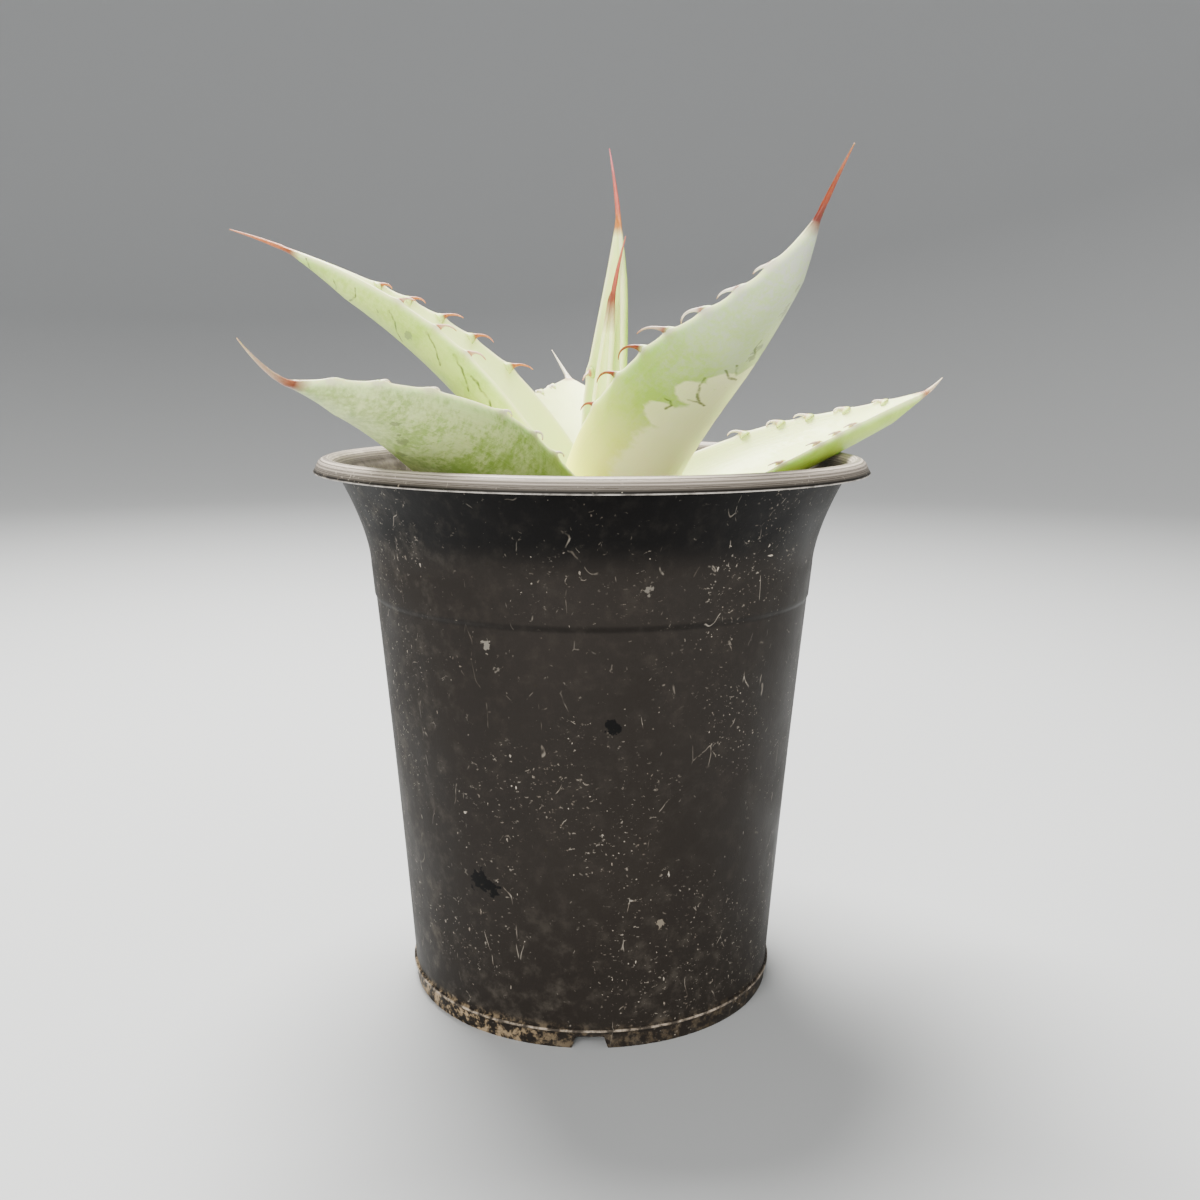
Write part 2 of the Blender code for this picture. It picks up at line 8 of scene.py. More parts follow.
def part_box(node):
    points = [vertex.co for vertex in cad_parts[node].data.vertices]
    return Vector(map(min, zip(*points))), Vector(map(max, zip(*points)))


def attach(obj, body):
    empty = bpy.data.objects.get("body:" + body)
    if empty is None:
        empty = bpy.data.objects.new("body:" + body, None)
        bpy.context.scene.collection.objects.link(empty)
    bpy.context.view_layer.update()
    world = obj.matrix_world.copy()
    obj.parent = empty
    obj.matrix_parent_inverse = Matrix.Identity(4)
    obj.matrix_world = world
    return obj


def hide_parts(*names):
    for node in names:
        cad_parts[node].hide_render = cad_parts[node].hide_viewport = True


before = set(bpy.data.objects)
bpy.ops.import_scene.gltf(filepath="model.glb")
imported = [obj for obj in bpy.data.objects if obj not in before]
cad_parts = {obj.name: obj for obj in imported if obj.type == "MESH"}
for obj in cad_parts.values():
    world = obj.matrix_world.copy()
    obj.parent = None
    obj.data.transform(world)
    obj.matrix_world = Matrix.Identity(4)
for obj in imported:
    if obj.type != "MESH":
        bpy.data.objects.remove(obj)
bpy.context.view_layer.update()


# ---------------------------------------------------------------- camera, light and floor
# The camera stands close to the pot, level with the leaves, and is tipped down a little. The
# light comes mostly from above and behind, as under a window, with a soft fill from the front.
# The pot stands on a pale round sweep whose edge curves up out of sight.

def mesh_piece(name, points, faces, finish=None, smooth=True):
    """A mesh object at the origin from an array of points and rows of corner numbers."""
    mesh = bpy.data.meshes.new(name)
    corners = [list(map(int, face)) for face in faces]
    mesh.from_pydata(np.asarray(points, float).tolist(), [], corners)
    mesh.update()
    if smooth:
        mesh.shade_smooth()
    if finish is not None:
        mesh.materials.append(finish)
    made = bpy.data.objects.new(name, mesh)
    bpy.context.scene.collection.objects.link(made)
    return made


def grid_faces(rows, columns, wrap):
    """Quads of a grid stored row by row; wrap joins the last column to the first."""
    across = np.arange(columns if wrap else columns - 1)
    row, column = np.meshgrid(np.arange(rows - 1), across, indexing="ij")
    following = (column + 1) % columns
    low = row * columns
    high = low + columns
    return np.stack([low + column, low + following, high + following, high + column], -1).reshape(-1, 4)


def turned_points(radii, heights, angles):
    """A profile of radius and height swept round +Z, as rows of the profile by angles."""
    x = radii[:, None] * np.cos(angles)
    y = radii[:, None] * np.sin(angles)
    z = np.broadcast_to(heights[:, None], x.shape)
    return np.stack([x, y, z], -1)


def plain_finish(name, colour, roughness):
    """A new material and its Principled shader, with the colour and roughness set on it."""
    made = bpy.data.materials.new(name)
    made.use_nodes = True
    shader = made.node_tree.nodes["Principled BSDF"]
    shader.inputs["Base Color"].default_value = (*colour, 1.0)
    shader.inputs["Roughness"].default_value = roughness
    return made, made.node_tree, shader


CAMERA_PLACE = (0.0018, -0.2851, 0.1378)
CAMERA_DIP, CAMERA_ROLL = 10.26, 0.2
CAMERA_LENS, SENSOR_WIDTH = 38.82, 36.0
SWEEP_SIDES, SWEEP_FLAT, SWEEP_BEND = 96, 1.1, 0.7

camera = bpy.data.objects.new("camera", bpy.data.cameras.new("camera"))
bpy.context.scene.collection.objects.link(camera)
camera.data.lens = CAMERA_LENS
camera.data.sensor_width = SENSOR_WIDTH
camera.data.clip_start = 0.01
tip = Matrix.Rotation(math.radians(90 - CAMERA_DIP), 4, "X")
roll = Matrix.Rotation(math.radians(CAMERA_ROLL), 4, "Z")
camera.matrix_world = Matrix.Translation(CAMERA_PLACE) @ tip @ roll
bpy.context.scene.camera = camera


def soft_light(name, place, target, size, power, colour):
    """A round area light at a place, turned to face its target."""
    lamp = bpy.data.lights.new(name, "AREA")
    lamp.shape = "DISK"
    lamp.size = size
    lamp.energy = power
    lamp.color = colour
    made = bpy.data.objects.new(name, lamp)
    made.location = place
    made.rotation_euler = (Vector(target) - Vector(place)).to_track_quat("-Z", "Y").to_euler()
    bpy.context.scene.collection.objects.link(made)


soft_light("window", (-0.12, 0.30, 0.80), (0, 0, 0.12), 0.50, 40.0, (1.0, 0.98, 0.92))
soft_light("room", (-0.35, -1.00, 0.45), (0, 0, 0.11), 0.90, 23.0, (1.0, 0.98, 0.93))
soft_light("reflector", (0.55, -0.50, 0.12), (0.02, 0, 0.13), 0.50, 4.5, (1.0, 0.98, 0.92))

world = bpy.data.worlds.new("studio")
world.use_nodes = True
world.node_tree.nodes["Background"].inputs["Color"].default_value = (0.92, 0.91, 0.88, 1.0)
world.node_tree.nodes["Background"].inputs["Strength"].default_value = 0.55
bpy.context.scene.world = world

bend = np.radians(np.linspace(0, 90, 13))
sweep_radii = np.concatenate(
    [[0.02, 0.6], SWEEP_FLAT + SWEEP_BEND * np.sin(bend), [SWEEP_FLAT + SWEEP_BEND]])
sweep_heights = np.concatenate([[0.0, 0.0], SWEEP_BEND * (1 - np.cos(bend)), [2 * SWEEP_BEND]])
sweep_turns = np.linspace(0, 2 * np.pi, SWEEP_SIDES, endpoint=False)
sweep_points = turned_points(sweep_radii, sweep_heights, sweep_turns).reshape(-1, 3)
sweep_faces = grid_faces(len(sweep_radii), SWEEP_SIDES, True).tolist() + [list(range(SWEEP_SIDES))]
paper, _, _ = plain_finish("sweep_paper", (0.36, 0.37, 0.385), 0.9)
sweep = mesh_piece("sweep", sweep_points, sweep_faces, paper)


# ---------------------------------------------------------------- pot
# One thin moulding of recycled black polypropylene: a rolled rim on a flared neck, a faint
# ledge, a tapered side, a ring foot with drain notches, and holes in its raised floor. It
# has been handled and watered: dust, lime flecks, fine scratches, scuffs and wet spots.

def node(tree, kind, inputs=None, **settings):
    """One shader node; an input takes another node's output socket or a plain value."""
    made = tree.nodes.new("ShaderNode" + kind)
    for key, value in settings.items():
        setattr(made, key, value)
    for socket, value in (inputs or {}).items():
        if isinstance(value, bpy.types.NodeSocket):
            tree.links.new(value, made.inputs[socket])
        else:
            made.inputs[socket].default_value = value
    return made


def calc(tree, operation, *values):
    return node(tree, "Math", dict(enumerate(values)), operation=operation).outputs[0]


def times(tree, *values):
    """The product of two or more values."""
    found = values[0]
    for value in values[1:]:
        found = calc(tree, "MULTIPLY", found, value)
    return found


def largest(tree, *values):
    """The greatest of one or more values."""
    found = values[0]
    for value in values[1:]:
        found = calc(tree, "MAXIMUM", found, value)
    return found


def ease(tree, value, low, high, first=0.0, last=1.0):
    """Goes smoothly from first to last as the value goes from low to high."""
    inputs = {"Value": value, "From Min": low, "From Max": high, "To Min": first, "To Max": last}
    return node(tree, "MapRange", inputs, interpolation_type="SMOOTHSTEP").outputs[0]


def tint(tree, share, first, second):
    """Mixes two colours; a colour is a socket or three numbers."""
    made = node(tree, "Mix", {0: share}, data_type="RGBA")
    for socket, colour in ((6, first), (7, second)):
        if isinstance(colour, bpy.types.NodeSocket):
            tree.links.new(colour, made.inputs[socket])
        else:
            made.inputs[socket].default_value = (*colour, 1.0)
    return made.outputs[2]


def object_place(tree):
    """The place on the object itself, in metres."""
    return node(tree, "TexCoord").outputs["Object"]


def hold(piece, name, values):
    """Stores one value at each point of a piece's mesh, under a name that a finish reads."""
    layer = piece.data.attributes.new(name, "FLOAT", "POINT")
    layer.data.foreach_set("value", np.asarray(values, np.float32))


def carried(tree, name):
    """A value that the mesh holds at its points."""
    return node(tree, "Attribute", attribute_name=name).outputs["Fac"]


def fractal(tree, vector, scale, detail=4.0, rough=0.55):
    inputs = {"Vector": vector, "Scale": scale, "Detail": detail, "Roughness": rough}
    return node(tree, "TexNoise", inputs).outputs[0]


def arrow(tree, operation, first, second):
    """Vector arithmetic on two vectors."""
    return node(tree, "VectorMath", {0: first, 1: second}, operation=operation).outputs[0]


def amount(tree, operation, first, second):
    """Vector arithmetic on two vectors that gives a number."""
    return node(tree, "VectorMath", {0: first, 1: second}, operation=operation).outputs["Value"]


def scaled(tree, vector, factor):
    return node(tree, "VectorMath", {0: vector, "Scale": factor}, operation="SCALE").outputs[0]


def shaken(tree, vector, scale, spread):
    """The vector moved about by noise, by up to half the spread each way."""
    cloud = node(tree, "TexNoise", {"Vector": vector, "Scale": scale, "Detail": 2.0}).outputs[1]
    centred = arrow(tree, "SUBTRACT", cloud, (0.5, 0.5, 0.5))
    return arrow(tree, "ADD", vector, scaled(tree, centred, spread))


def new_group(name, inputs, outputs):
    """An empty node group with these sockets, its input node's outputs and its output node."""
    tree = bpy.data.node_groups.new(name, "ShaderNodeTree")
    for socket, kind in inputs:
        tree.interface.new_socket(socket, in_out="INPUT", socket_type="NodeSocket" + kind)
    for socket, kind in outputs:
        tree.interface.new_socket(socket, in_out="OUTPUT", socket_type="NodeSocket" + kind)
    return tree, tree.nodes.new("NodeGroupInput").outputs, tree.nodes.new("NodeGroupOutput")


def placed(tree, group, **values):
    """The group in a material; its sockets are given by name, with _ for a space."""
    made = tree.nodes.new("ShaderNodeGroup")
    made.node_tree = group
    for name, value in values.items():
        socket = made.inputs[name.replace("_", " ")]
        if isinstance(value, bpy.types.NodeSocket):
            tree.links.new(value, socket)
        else:
            socket.default_value = value
    return made.outputs


def dress(tree, shader, colour, relief, strength, depth, roughness=None):
    """Links a finish's colour, its relief as bump and, where it varies, its roughness."""
    tree.links.new(colour, shader.inputs["Base Color"])
    bump = node(tree, "Bump", {"Strength": strength, "Distance": depth, "Height": relief})
    tree.links.new(bump.outputs[0], shader.inputs["Normal"])
    if roughness is not None:
        tree.links.new(roughness, shader.inputs["Roughness"])


# Specks: one uneven blot near the middle of some of the cells of a Voronoi pattern.
speck_group, given, result = new_group(
    "specks",
    [("Vector", "Vector"), ("Spacing", "Float"), ("Size", "Float"), ("Share", "Float")],
    [("Mask", "Float"), ("Tone", "Float")],
)
t = speck_group
cell = scaled(t, given["Vector"], calc(t, "DIVIDE", 1.0, given["Spacing"]))
cells = node(t, "TexVoronoi", {"Vector": shaken(t, cell, 5.0, 0.28), "Scale": 1.0}).outputs
parts = node(t, "SeparateColor", {0: cells["Color"]}).outputs
reach = times(t, given["Size"], calc(t, "MULTIPLY_ADD", parts[1], 0.75, 0.25))
inside = ease(t, calc(t, "DIVIDE", cells["Distance"], reach), 0.7, 1.0, 1.0, 0.0)
present = calc(t, "LESS_THAN", parts[0], given["Share"])
t.links.new(times(t, inside, present), result.inputs["Mask"])
t.links.new(parts[2], result.inputs["Tone"])

# Scratches: short stretches of the thin edges between cells, kept where a noise is high.
scratch_group, given, result = new_group(
    "scratches",
    [("Vector", "Vector"), ("Spacing", "Float"), ("Width", "Float"), ("Share", "Float")],
    [("Mask", "Float")],
)
t = scratch_group
cell = scaled(t, given["Vector"], calc(t, "DIVIDE", 1.0, given["Spacing"]))
crooked = {"Vector": shaken(t, cell, 1.3, 0.7), "Scale": 1.0}
edges = node(t, "TexVoronoi", crooked, feature="DISTANCE_TO_EDGE").outputs["Distance"]
line = ease(t, calc(t, "DIVIDE", edges, given["Width"]), 1.0, 0.2)
start = calc(t, "SUBTRACT", 0.95, given["Share"])
kept = ease(t, fractal(t, cell, 1.7, 3.0, 0.7), start, calc(t, "ADD", start, 0.06))
t.links.new(times(t, line, kept), result.inputs["Mask"])

# Blots: one uneven spot round a chosen point, such as a wet mark or a lime fleck.
blot_group, given, result = new_group(
    "blot",
    [("Vector", "Vector"), ("Centre", "Vector"), ("Radius", "Float"), ("Ragged", "Float")],
    [("Mask", "Float")],
)
t = blot_group
edge = calc(t, "SUBTRACT", fractal(t, given["Vector"], 700.0, 3.0, 0.6), 0.5)
away = calc(t, "DIVIDE", amount(t, "DISTANCE", given["Vector"], given["Centre"]), given["Radius"])
uneven = calc(t, "MULTIPLY_ADD", edge, given["Ragged"], away)
t.links.new(ease(t, uneven, 1.0, 0.8), result.inputs["Mask"])

pot_low, pot_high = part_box("pot")
RIM_RADIUS = (pot_high.x - pot_low.x) / 2
RIM_CREST = pot_high.z
SHOULDER_RADIUS, SHOULDER_Z = 0.04815, RIM_CREST - 0.0227
LEDGE_Z, LEDGE_STEP = RIM_CREST - 0.0297, 0.00025
FOOT_RADIUS, FOOT_HEIGHT, FOOT_WALL = 0.0405, 0.0036, 0.0015
WALL, WALL_BOW = 0.0012, 0.0003
FLANGE_WIDTH = 0.0040
NOTCH_WIDTH, NOTCH_HEIGHT, NOTCHES = 0.0075, 0.0026, 4
DRAIN_RADIUS, DRAIN_CIRCLE, OUTER_DRAINS = 0.0040, 0.0270, 4
BEAD = 0.0006
POT_TURNS, FLOOR_TURNS, FLOOR_RINGS = 300, 240, 70


def wall_radius(z):
    """Outer radius of the side: a slightly hollow taper, a small step out at the ledge and,
    over the shoulder, a flare that grows with a power of the height."""
    share = np.clip((z - FOOT_HEIGHT) / (SHOULDER_Z - FOOT_HEIGHT), 0, 1)
    taper = FOOT_RADIUS + (SHOULDER_RADIUS - FOOT_RADIUS) * share - WALL_BOW * np.sin(np.pi * share)
    flare = np.clip((z - SHOULDER_Z) / (RIM_CREST - 0.0017 - SHOULDER_Z), 0, 1)
    step = LEDGE_STEP * (1 - flare) * np.clip((z - LEDGE_Z) / 0.0008 + 0.5, 0, 1)
    return taper + step + (RIM_RADIUS - FLANGE_WIDTH - SHOULDER_RADIUS) * flare**1.55


def smooth_line(corners, per_span):
    """A Catmull-Rom curve through the corners, with this many points to each span."""
    corners = np.asarray(corners, float)
    ends = np.concatenate([[2 * corners[0] - corners[1]], corners, [2 * corners[-1] - corners[-2]]])
    a, b, c, d = ends[:-3, None], ends[1:-2, None], ends[2:-1, None], ends[3:, None]
    s = np.linspace(0, 1, per_span, endpoint=False)[None, :, None]
    curve = b + 0.5 * s * (c - a + s * (2 * a - 5 * b + 4 * c - d + s * (3 * (b - c) + d - a)))
    return np.concatenate([curve.reshape(-1, 2), corners[-1:]])


# The rim's section, from inside to outside: how far in from the lip, how far under the crest.
rim_section = smooth_line([
    (0.0047, 0.0020), (0.0040, 0.0008), (0.0031, 0.0001), (0.0023, 0.0001), (0.0015, 0.0005),
    (0.0009, 0.0012), (0.0005, 0.0021), (0.0001, 0.0028), (0.0000, 0.0030), (0.0003, 0.0032),
    (0.0009, 0.0029), (0.0014, 0.0021), (0.0022, 0.0018), (0.0033, 0.0019),
], 4)
wall_z = np.concatenate([
    np.linspace(FOOT_HEIGHT + 0.0010, LEDGE_Z - 0.0006, 60),
    np.linspace(LEDGE_Z - 0.0004, LEDGE_Z + 0.0004, 5),
    np.linspace(LEDGE_Z + 0.0010, SHOULDER_Z, 6),
    np.linspace(SHOULDER_Z, RIM_CREST - 0.0034, 26)[1:],
])
floor_z = FOOT_HEIGHT + WALL
floor_edge = wall_radius(floor_z) - WALL
inner_z = wall_z[wall_z > floor_z + 0.001]
inner_foot = FOOT_RADIUS - FOOT_WALL
profile = np.concatenate([
    [(floor_edge - 0.0010, floor_z), (floor_edge - 0.0003, floor_z + 0.0003)],
    np.stack([wall_radius(inner_z) - WALL, inner_z], -1),
    np.stack([RIM_RADIUS - rim_section[:, 0], RIM_CREST - rim_section[:, 1]], -1),
    np.stack([wall_radius(wall_z), wall_z], -1)[::-1],
    [(FOOT_RADIUS + BEAD, FOOT_HEIGHT + 0.0007), (FOOT_RADIUS + BEAD, FOOT_HEIGHT + 0.0003),
     (FOOT_RADIUS + 0.0001, FOOT_HEIGHT - 0.0001), (FOOT_RADIUS, FOOT_HEIGHT - 0.0006),
     (FOOT_RADIUS - 0.0001, 0.0004), (FOOT_RADIUS - 0.0003, 0.0), (FOOT_RADIUS - 0.0012, 0.0),
     (inner_foot, 0.0004), (inner_foot, FOOT_HEIGHT), (inner_foot - 0.0006, FOOT_HEIGHT)],
])
half_notch = NOTCH_WIDTH / 2 / FOOT_RADIUS
notch_turns = -np.pi / 2 + 2 * np.pi * np.arange(NOTCHES) / NOTCHES
steps = np.array([-1.02, -0.98, -0.79, 0.79, 0.98, 1.02])
notch_sides = (notch_turns[:, None] + half_notch * steps).ravel()
even_turns = np.linspace(-np.pi, np.pi, POT_TURNS, endpoint=False)
turns = np.sort(np.concatenate([even_turns, (notch_sides + np.pi) % (2 * np.pi) - np.pi]))
pot_points = turned_points(profile[:, 0], profile[:, 1], turns)

# A notch lifts the foot's lowest rings; its sides lean in towards its top.
half_turn = np.pi / NOTCHES
from_notch = np.abs((turns[:, None] - notch_turns + half_turn) % (2 * half_turn) - half_turn)
share_across = from_notch.min(1) / half_notch
notch_lift = NOTCH_HEIGHT * np.clip((1.0 - share_across) / 0.22, 0, 1)
low_rings = profile[:, 1] < FOOT_HEIGHT - 0.0003
lifted = np.maximum(pot_points[low_rings, :, 2], notch_lift + pot_points[low_rings, :, 2] * 0.1)
pot_points[low_rings, :, 2] = lifted

# The floor is a fine polar sheet: corners inside a drain hole move out to its edge, and the
# faces that lie wholly inside one are left out.
floor_radii = np.linspace(DRAIN_RADIUS, floor_edge + 0.0004, FLOOR_RINGS)
floor_turns = np.linspace(0, 2 * np.pi, FLOOR_TURNS, endpoint=False)
flat = turned_points(floor_radii, 0 * floor_radii, floor_turns).reshape(-1, 3)
hole_turns = 2 * np.pi * (np.arange(OUTER_DRAINS) + 0.5) / OUTER_DRAINS
hole_centres = DRAIN_CIRCLE * np.stack([np.cos(hole_turns), np.sin(hole_turns), 0 * hole_turns], -1)
to_point = flat[:, None] - hole_centres
hole_distance = np.linalg.norm(to_point, axis=2)
nearest = hole_distance.argmin(1)
picked = np.arange(len(flat))
inside_hole = hole_distance[picked, nearest] < DRAIN_RADIUS
outward = to_point[picked, nearest] / np.maximum(hole_distance[picked, nearest], 1e-6)[:, None]
flat[inside_hole] = (hole_centres[nearest] + outward * DRAIN_RADIUS)[inside_hole]
floor_quads = grid_faces(FLOOR_RINGS, FLOOR_TURNS, True)
floor_quads = floor_quads[~inside_hole[floor_quads].all(1)]
ends = np.concatenate([floor_quads[:, [corner, (corner + 1) % 4]] for corner in range(4)])
_, first_seen, how_many = np.unique(np.sort(ends, 1), axis=0, return_index=True, return_counts=True)
open_ends = ends[first_seen[how_many == 1]]
upper = flat + [0, 0, floor_z]
lower = flat + [0, 0, FOOT_HEIGHT]
count = len(flat)
rim_quads = np.concatenate([open_ends[:, ::-1], open_ends + count], 1)

side_quads = grid_faces(len(profile), len(turns), True)[:, ::-1] + 2 * count
all_points = np.concatenate([upper, lower, pot_points.reshape(-1, 3)])
all_faces = np.concatenate([floor_quads, floor_quads[:, ::-1] + count, rim_quads, side_quads])

plastic, t, shader = plain_finish("moulded_plastic", (0.01, 0.009, 0.008), 0.5)
shader.inputs["Specular IOR Level"].default_value = 0.09
place = object_place(t)
axes = node(t, "SeparateXYZ", {0: place}).outputs
height, sideways = axes["Z"], axes["X"]
level = node(t, "CombineXYZ", {0: sideways, 1: axes["Y"]}).outputs[0]
radius = node(t, "VectorMath", {0: level}, operation="LENGTH").outputs["Value"]
cloudy = fractal(t, place, 38.0, 5.0, 0.6)
fine_cloud = fractal(t, place, 260.0, 4.0, 0.65)
grain = fractal(t, place, 1900.0, 2.0, 0.7)
colour = tint(t, cloudy, (0.0090, 0.0073, 0.0061), (0.0156, 0.0128, 0.0107))
# Painted shade: the flared neck under the rim is darkened almost to black, standing in for the rim's
# shadow.
neck = ease(t, height, SHOULDER_Z + 0.002, SHOULDER_Z + 0.010, 0.0, 0.92)
colour = tint(t, neck, colour, (0.0004, 0.0004, 0.0005))
# Painted shade: a thin dark band along the ledge stands in for the shadow of its small step.
from_ledge = calc(t, "ABSOLUTE", calc(t, "SUBTRACT", height, LEDGE_Z))
ledge_shade = ease(t, from_ledge, 0.0010, 0.0003, 0.0, 0.42)
colour = tint(t, ledge_shade, colour, (0.0010, 0.0009, 0.0008))

# A film of dust: thin everywhere, thicker low down and inside the pot. Its thickening towards the left is
# painted sheen, a pale film standing in for grazing light on that side.
left_sheen = ease(t, sideways, -0.020, -0.046)
low_dust = ease(t, height, 0.040, 0.004, 0.05, 0.22)
dust_and_sheen = times(t, ease(t, fine_cloud, 0.45, 0.85), calc(t, "MULTIPLY_ADD", left_sheen, 0.25, low_dust))
colour = tint(t, dust_and_sheen, colour, (0.16, 0.14, 0.115))
inner_film = times(t, carried(t, "within"), ease(t, fine_cloud, 0.25, 0.80, 0.22, 0.62))
colour = tint(t, inner_film, colour, (0.22, 0.19, 0.16))

# Sand that has dried on the foot ring, most of it on the left.
sand = times(t, ease(t, height, 0.0062, 0.0030), ease(t, fractal(t, place, 520.0, 4.0, 0.72), 0.47, 0.62),
             ease(t, sideways, 0.004, -0.034, 0.10, 0.90))
colour = tint(t, sand, colour, (0.34, 0.25, 0.15))

# Pale flecks of three sizes, scuffs, hair scratches and smears, thickest towards both sides. The crowding
# towards the sides is painted sheen, standing in for grazing light on the pot's edges.
edge_sheen = ease(t, calc(t, "ABSOLUTE", sideways), 0.024, 0.048, 0.0, 0.11)
crowd = calc(t, "ADD", fractal(t, place, 34.0, 3.0, 0.6), edge_sheen)
density = ease(t, crowd, 0.40, 0.64, 0.10, 0.75)
upright = arrow(t, "MULTIPLY", place, (1.0, 1.0, 0.45))
squat = arrow(t, "MULTIPLY", place, (0.7, 0.7, 1.4))
big = placed(t, speck_group, Vector=squat, Spacing=0.0060, Size=0.075, Share=0.18)
middling = placed(t, speck_group, Vector=upright, Spacing=0.0021, Size=0.125, Share=density)
small = placed(t, speck_group, Vector=place, Spacing=0.0011, Size=0.18, Share=times(t, density, 0.55))
scuffs = placed(t, scratch_group, Vector=place, Spacing=0.0040, Width=0.034, Share=0.34)
hairs = placed(t, scratch_group, Vector=upright, Spacing=0.009, Width=0.012, Share=0.38)
smear_cloud = fractal(t, arrow(t, "MULTIPLY", place, (1.0, 1.0, 1.5)), 1000.0, 3.0, 0.6)
smears = times(t, ease(t, smear_cloud, 0.62, 0.72, 0.0, 0.36), ease(t, crowd, 0.44, 0.60))
marks = largest(t, big[0], times(t, middling[0], 0.60), times(t, small[0], 0.50),
                times(t, scuffs[0], 0.36), times(t, hairs[0], 0.36), smears)
marks = times(t, marks, ease(t, density, 0.08, 0.55, 0.34, 0.90))
colour = tint(t, marks, colour, tint(t, middling[1], (0.52, 0.47, 0.40), (0.24, 0.20, 0.16)))

# Splashes of lime, and wet marks where drops have run and lain.
for centre, blot_radius, ragged, strength, blot_colour in (
    ((-0.0199, -0.0427, 0.0850), 0.0010, 4.6, 0.22, (0.50, 0.45, 0.38)),
    ((0.0107, -0.0472, 0.0968), 0.0009, 4.6, 0.18, (0.46, 0.42, 0.36)),
    ((0.0141, -0.0398, 0.0268), 0.0009, 4.6, 0.26, (0.42, 0.36, 0.28)),
    ((-0.0224, -0.0365, 0.0350), 0.0024, 3.0, 1.0, (0.001, 0.001, 0.001)),
    ((-0.0200, -0.0378, 0.0338), 0.0020, 3.0, 1.0, (0.001, 0.001, 0.001)),
    ((0.0042, -0.0455, 0.0695), 0.0016, 3.0, 1.0, (0.001, 0.001, 0.001)),
):
    blot = placed(t, blot_group, Vector=place, Centre=centre, Radius=blot_radius, Ragged=ragged)[0]
    colour = tint(t, times(t, blot, strength), colour, blot_colour)

# Wear and painted highlight: a brushed grey band of wear on top of the rim, made pale enough to stand in
# for the light it catches, and a bright line along its lip and one on the bead, both painted highlights.
rings = {0: times(t, radius, 60.0), 1: times(t, height, 60.0), 2: times(t, fine_cloud, 0.012)}
brushed = fractal(t, node(t, "CombineXYZ", rings).outputs[0], 60.0, 3.0, 0.7)
on_top = ease(t, height, RIM_CREST - 0.0030, RIM_CREST - 0.0005)
colour = tint(t, times(t, on_top, ease(t, brushed, 0.38, 0.66, 0.22, 0.90)), colour, (0.56, 0.49, 0.42))
# Painted highlight: a thin bright line along the lip's edge, where it catches the light.
lip = times(t, ease(t, radius, RIM_RADIUS - 0.0004, RIM_RADIUS - 0.0001),
            ease(t, height, RIM_CREST - 0.0028, RIM_CREST - 0.0031),
            ease(t, fine_cloud, 0.30, 0.60, 0.25, 0.85))
colour = tint(t, lip, colour, (0.52, 0.48, 0.44))
# Painted highlight: a thin bright line on the foot's bead, where it catches the light.
bead = times(t, ease(t, radius, FOOT_RADIUS + BEAD - 0.0002, FOOT_RADIUS + BEAD),
             ease(t, height, FOOT_HEIGHT - 0.0002, FOOT_HEIGHT + 0.0001),
             ease(t, height, FOOT_HEIGHT + 0.0011, FOOT_HEIGHT + 0.0007),
             ease(t, fine_cloud, 0.42, 0.62, 0.06, 0.55))
colour = tint(t, bead, colour, (0.48, 0.40, 0.32))
polish = times(t, on_top, ease(t, brushed, 0.3, 0.7, 0.22, 0.10))
matt = calc(t, "SUBTRACT", ease(t, cloudy, 0.3, 0.7, 0.44, 0.60), polish)
relief = calc(t, "MULTIPLY_ADD", fine_cloud, 0.25, times(t, grain, 0.12))
relief = calc(t, "MULTIPLY_ADD", marks, 0.5, relief)
relief = calc(t, "MULTIPLY_ADD", times(t, on_top, brushed), 0.35, relief)
dress(t, shader, colour, relief, 0.35, 0.0004, largest(t, matt, times(t, marks, 0.9)))

pot = mesh_piece("pot_moulding", all_points, all_faces, plastic)
pot.data.set_sharp_from_angle(angle=math.radians(50))
inner_rows = 2 + len(inner_z)
inner_rings = np.repeat(np.arange(len(profile)) < inner_rows, len(turns))
hold(pot, "within", np.concatenate([np.ones(count), np.zeros(count), inner_rings]))
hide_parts("pot")
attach(pot, "root")


# ---------------------------------------------------------------- growing mix and stones
# A free-draining succulent mix: pale pumice, tan clay granules and dark lava grit over fine
# brown compost, watered level. A few bigger pumice stones have come to lie on top of it.

HEADSPACE = 0.0237
SOIL_TOP = RIM_CREST - HEADSPACE
SOIL_WAVE, GRAIN_BURY = 0.0007, 0.0008
BED_TURNS, BED_TOP_RINGS = 180, 60
soil_wall = wall_radius(np.array(SOIL_TOP)) - WALL


def mix_height(x, y):
    """The mix's surface: two crossing ripples that die away towards the wall."""
    share = 1 - np.clip(np.hypot(x, y) / soil_wall, 0, 1) ** 4
    ripple = np.sin(210 * x + 1.3) * np.cos(240 * y - 0.4) + 0.6 * np.sin(400 * x - 330 * y)
    return SOIL_TOP + SOIL_WAVE * share * ripple


bed_z = np.linspace(floor_z + 0.002, SOIL_TOP - 0.0012, 30)
bed_side = wall_radius(bed_z) - WALL - 0.0003
bed_edge = soil_wall - 0.0003
bed_profile = np.concatenate([
    [(0.0008, floor_z + 0.0004), (bed_side[0] - 0.0018, floor_z + 0.0004)],
    np.stack([bed_side, bed_z], -1),
    [(bed_edge, SOIL_TOP - 0.0006)],
    np.stack([np.linspace(bed_edge - 0.0005, 0.0008, BED_TOP_RINGS),
              np.full(BED_TOP_RINGS, SOIL_TOP - GRAIN_BURY)], -1),
])
bed_turns = np.linspace(0, 2 * np.pi, BED_TURNS, endpoint=False)
bed = turned_points(bed_profile[:, 0], bed_profile[:, 1], bed_turns)
bed_top = bed[-BED_TOP_RINGS:]
bed_top[..., 2] = mix_height(bed_top[..., 0], bed_top[..., 1]) - GRAIN_BURY
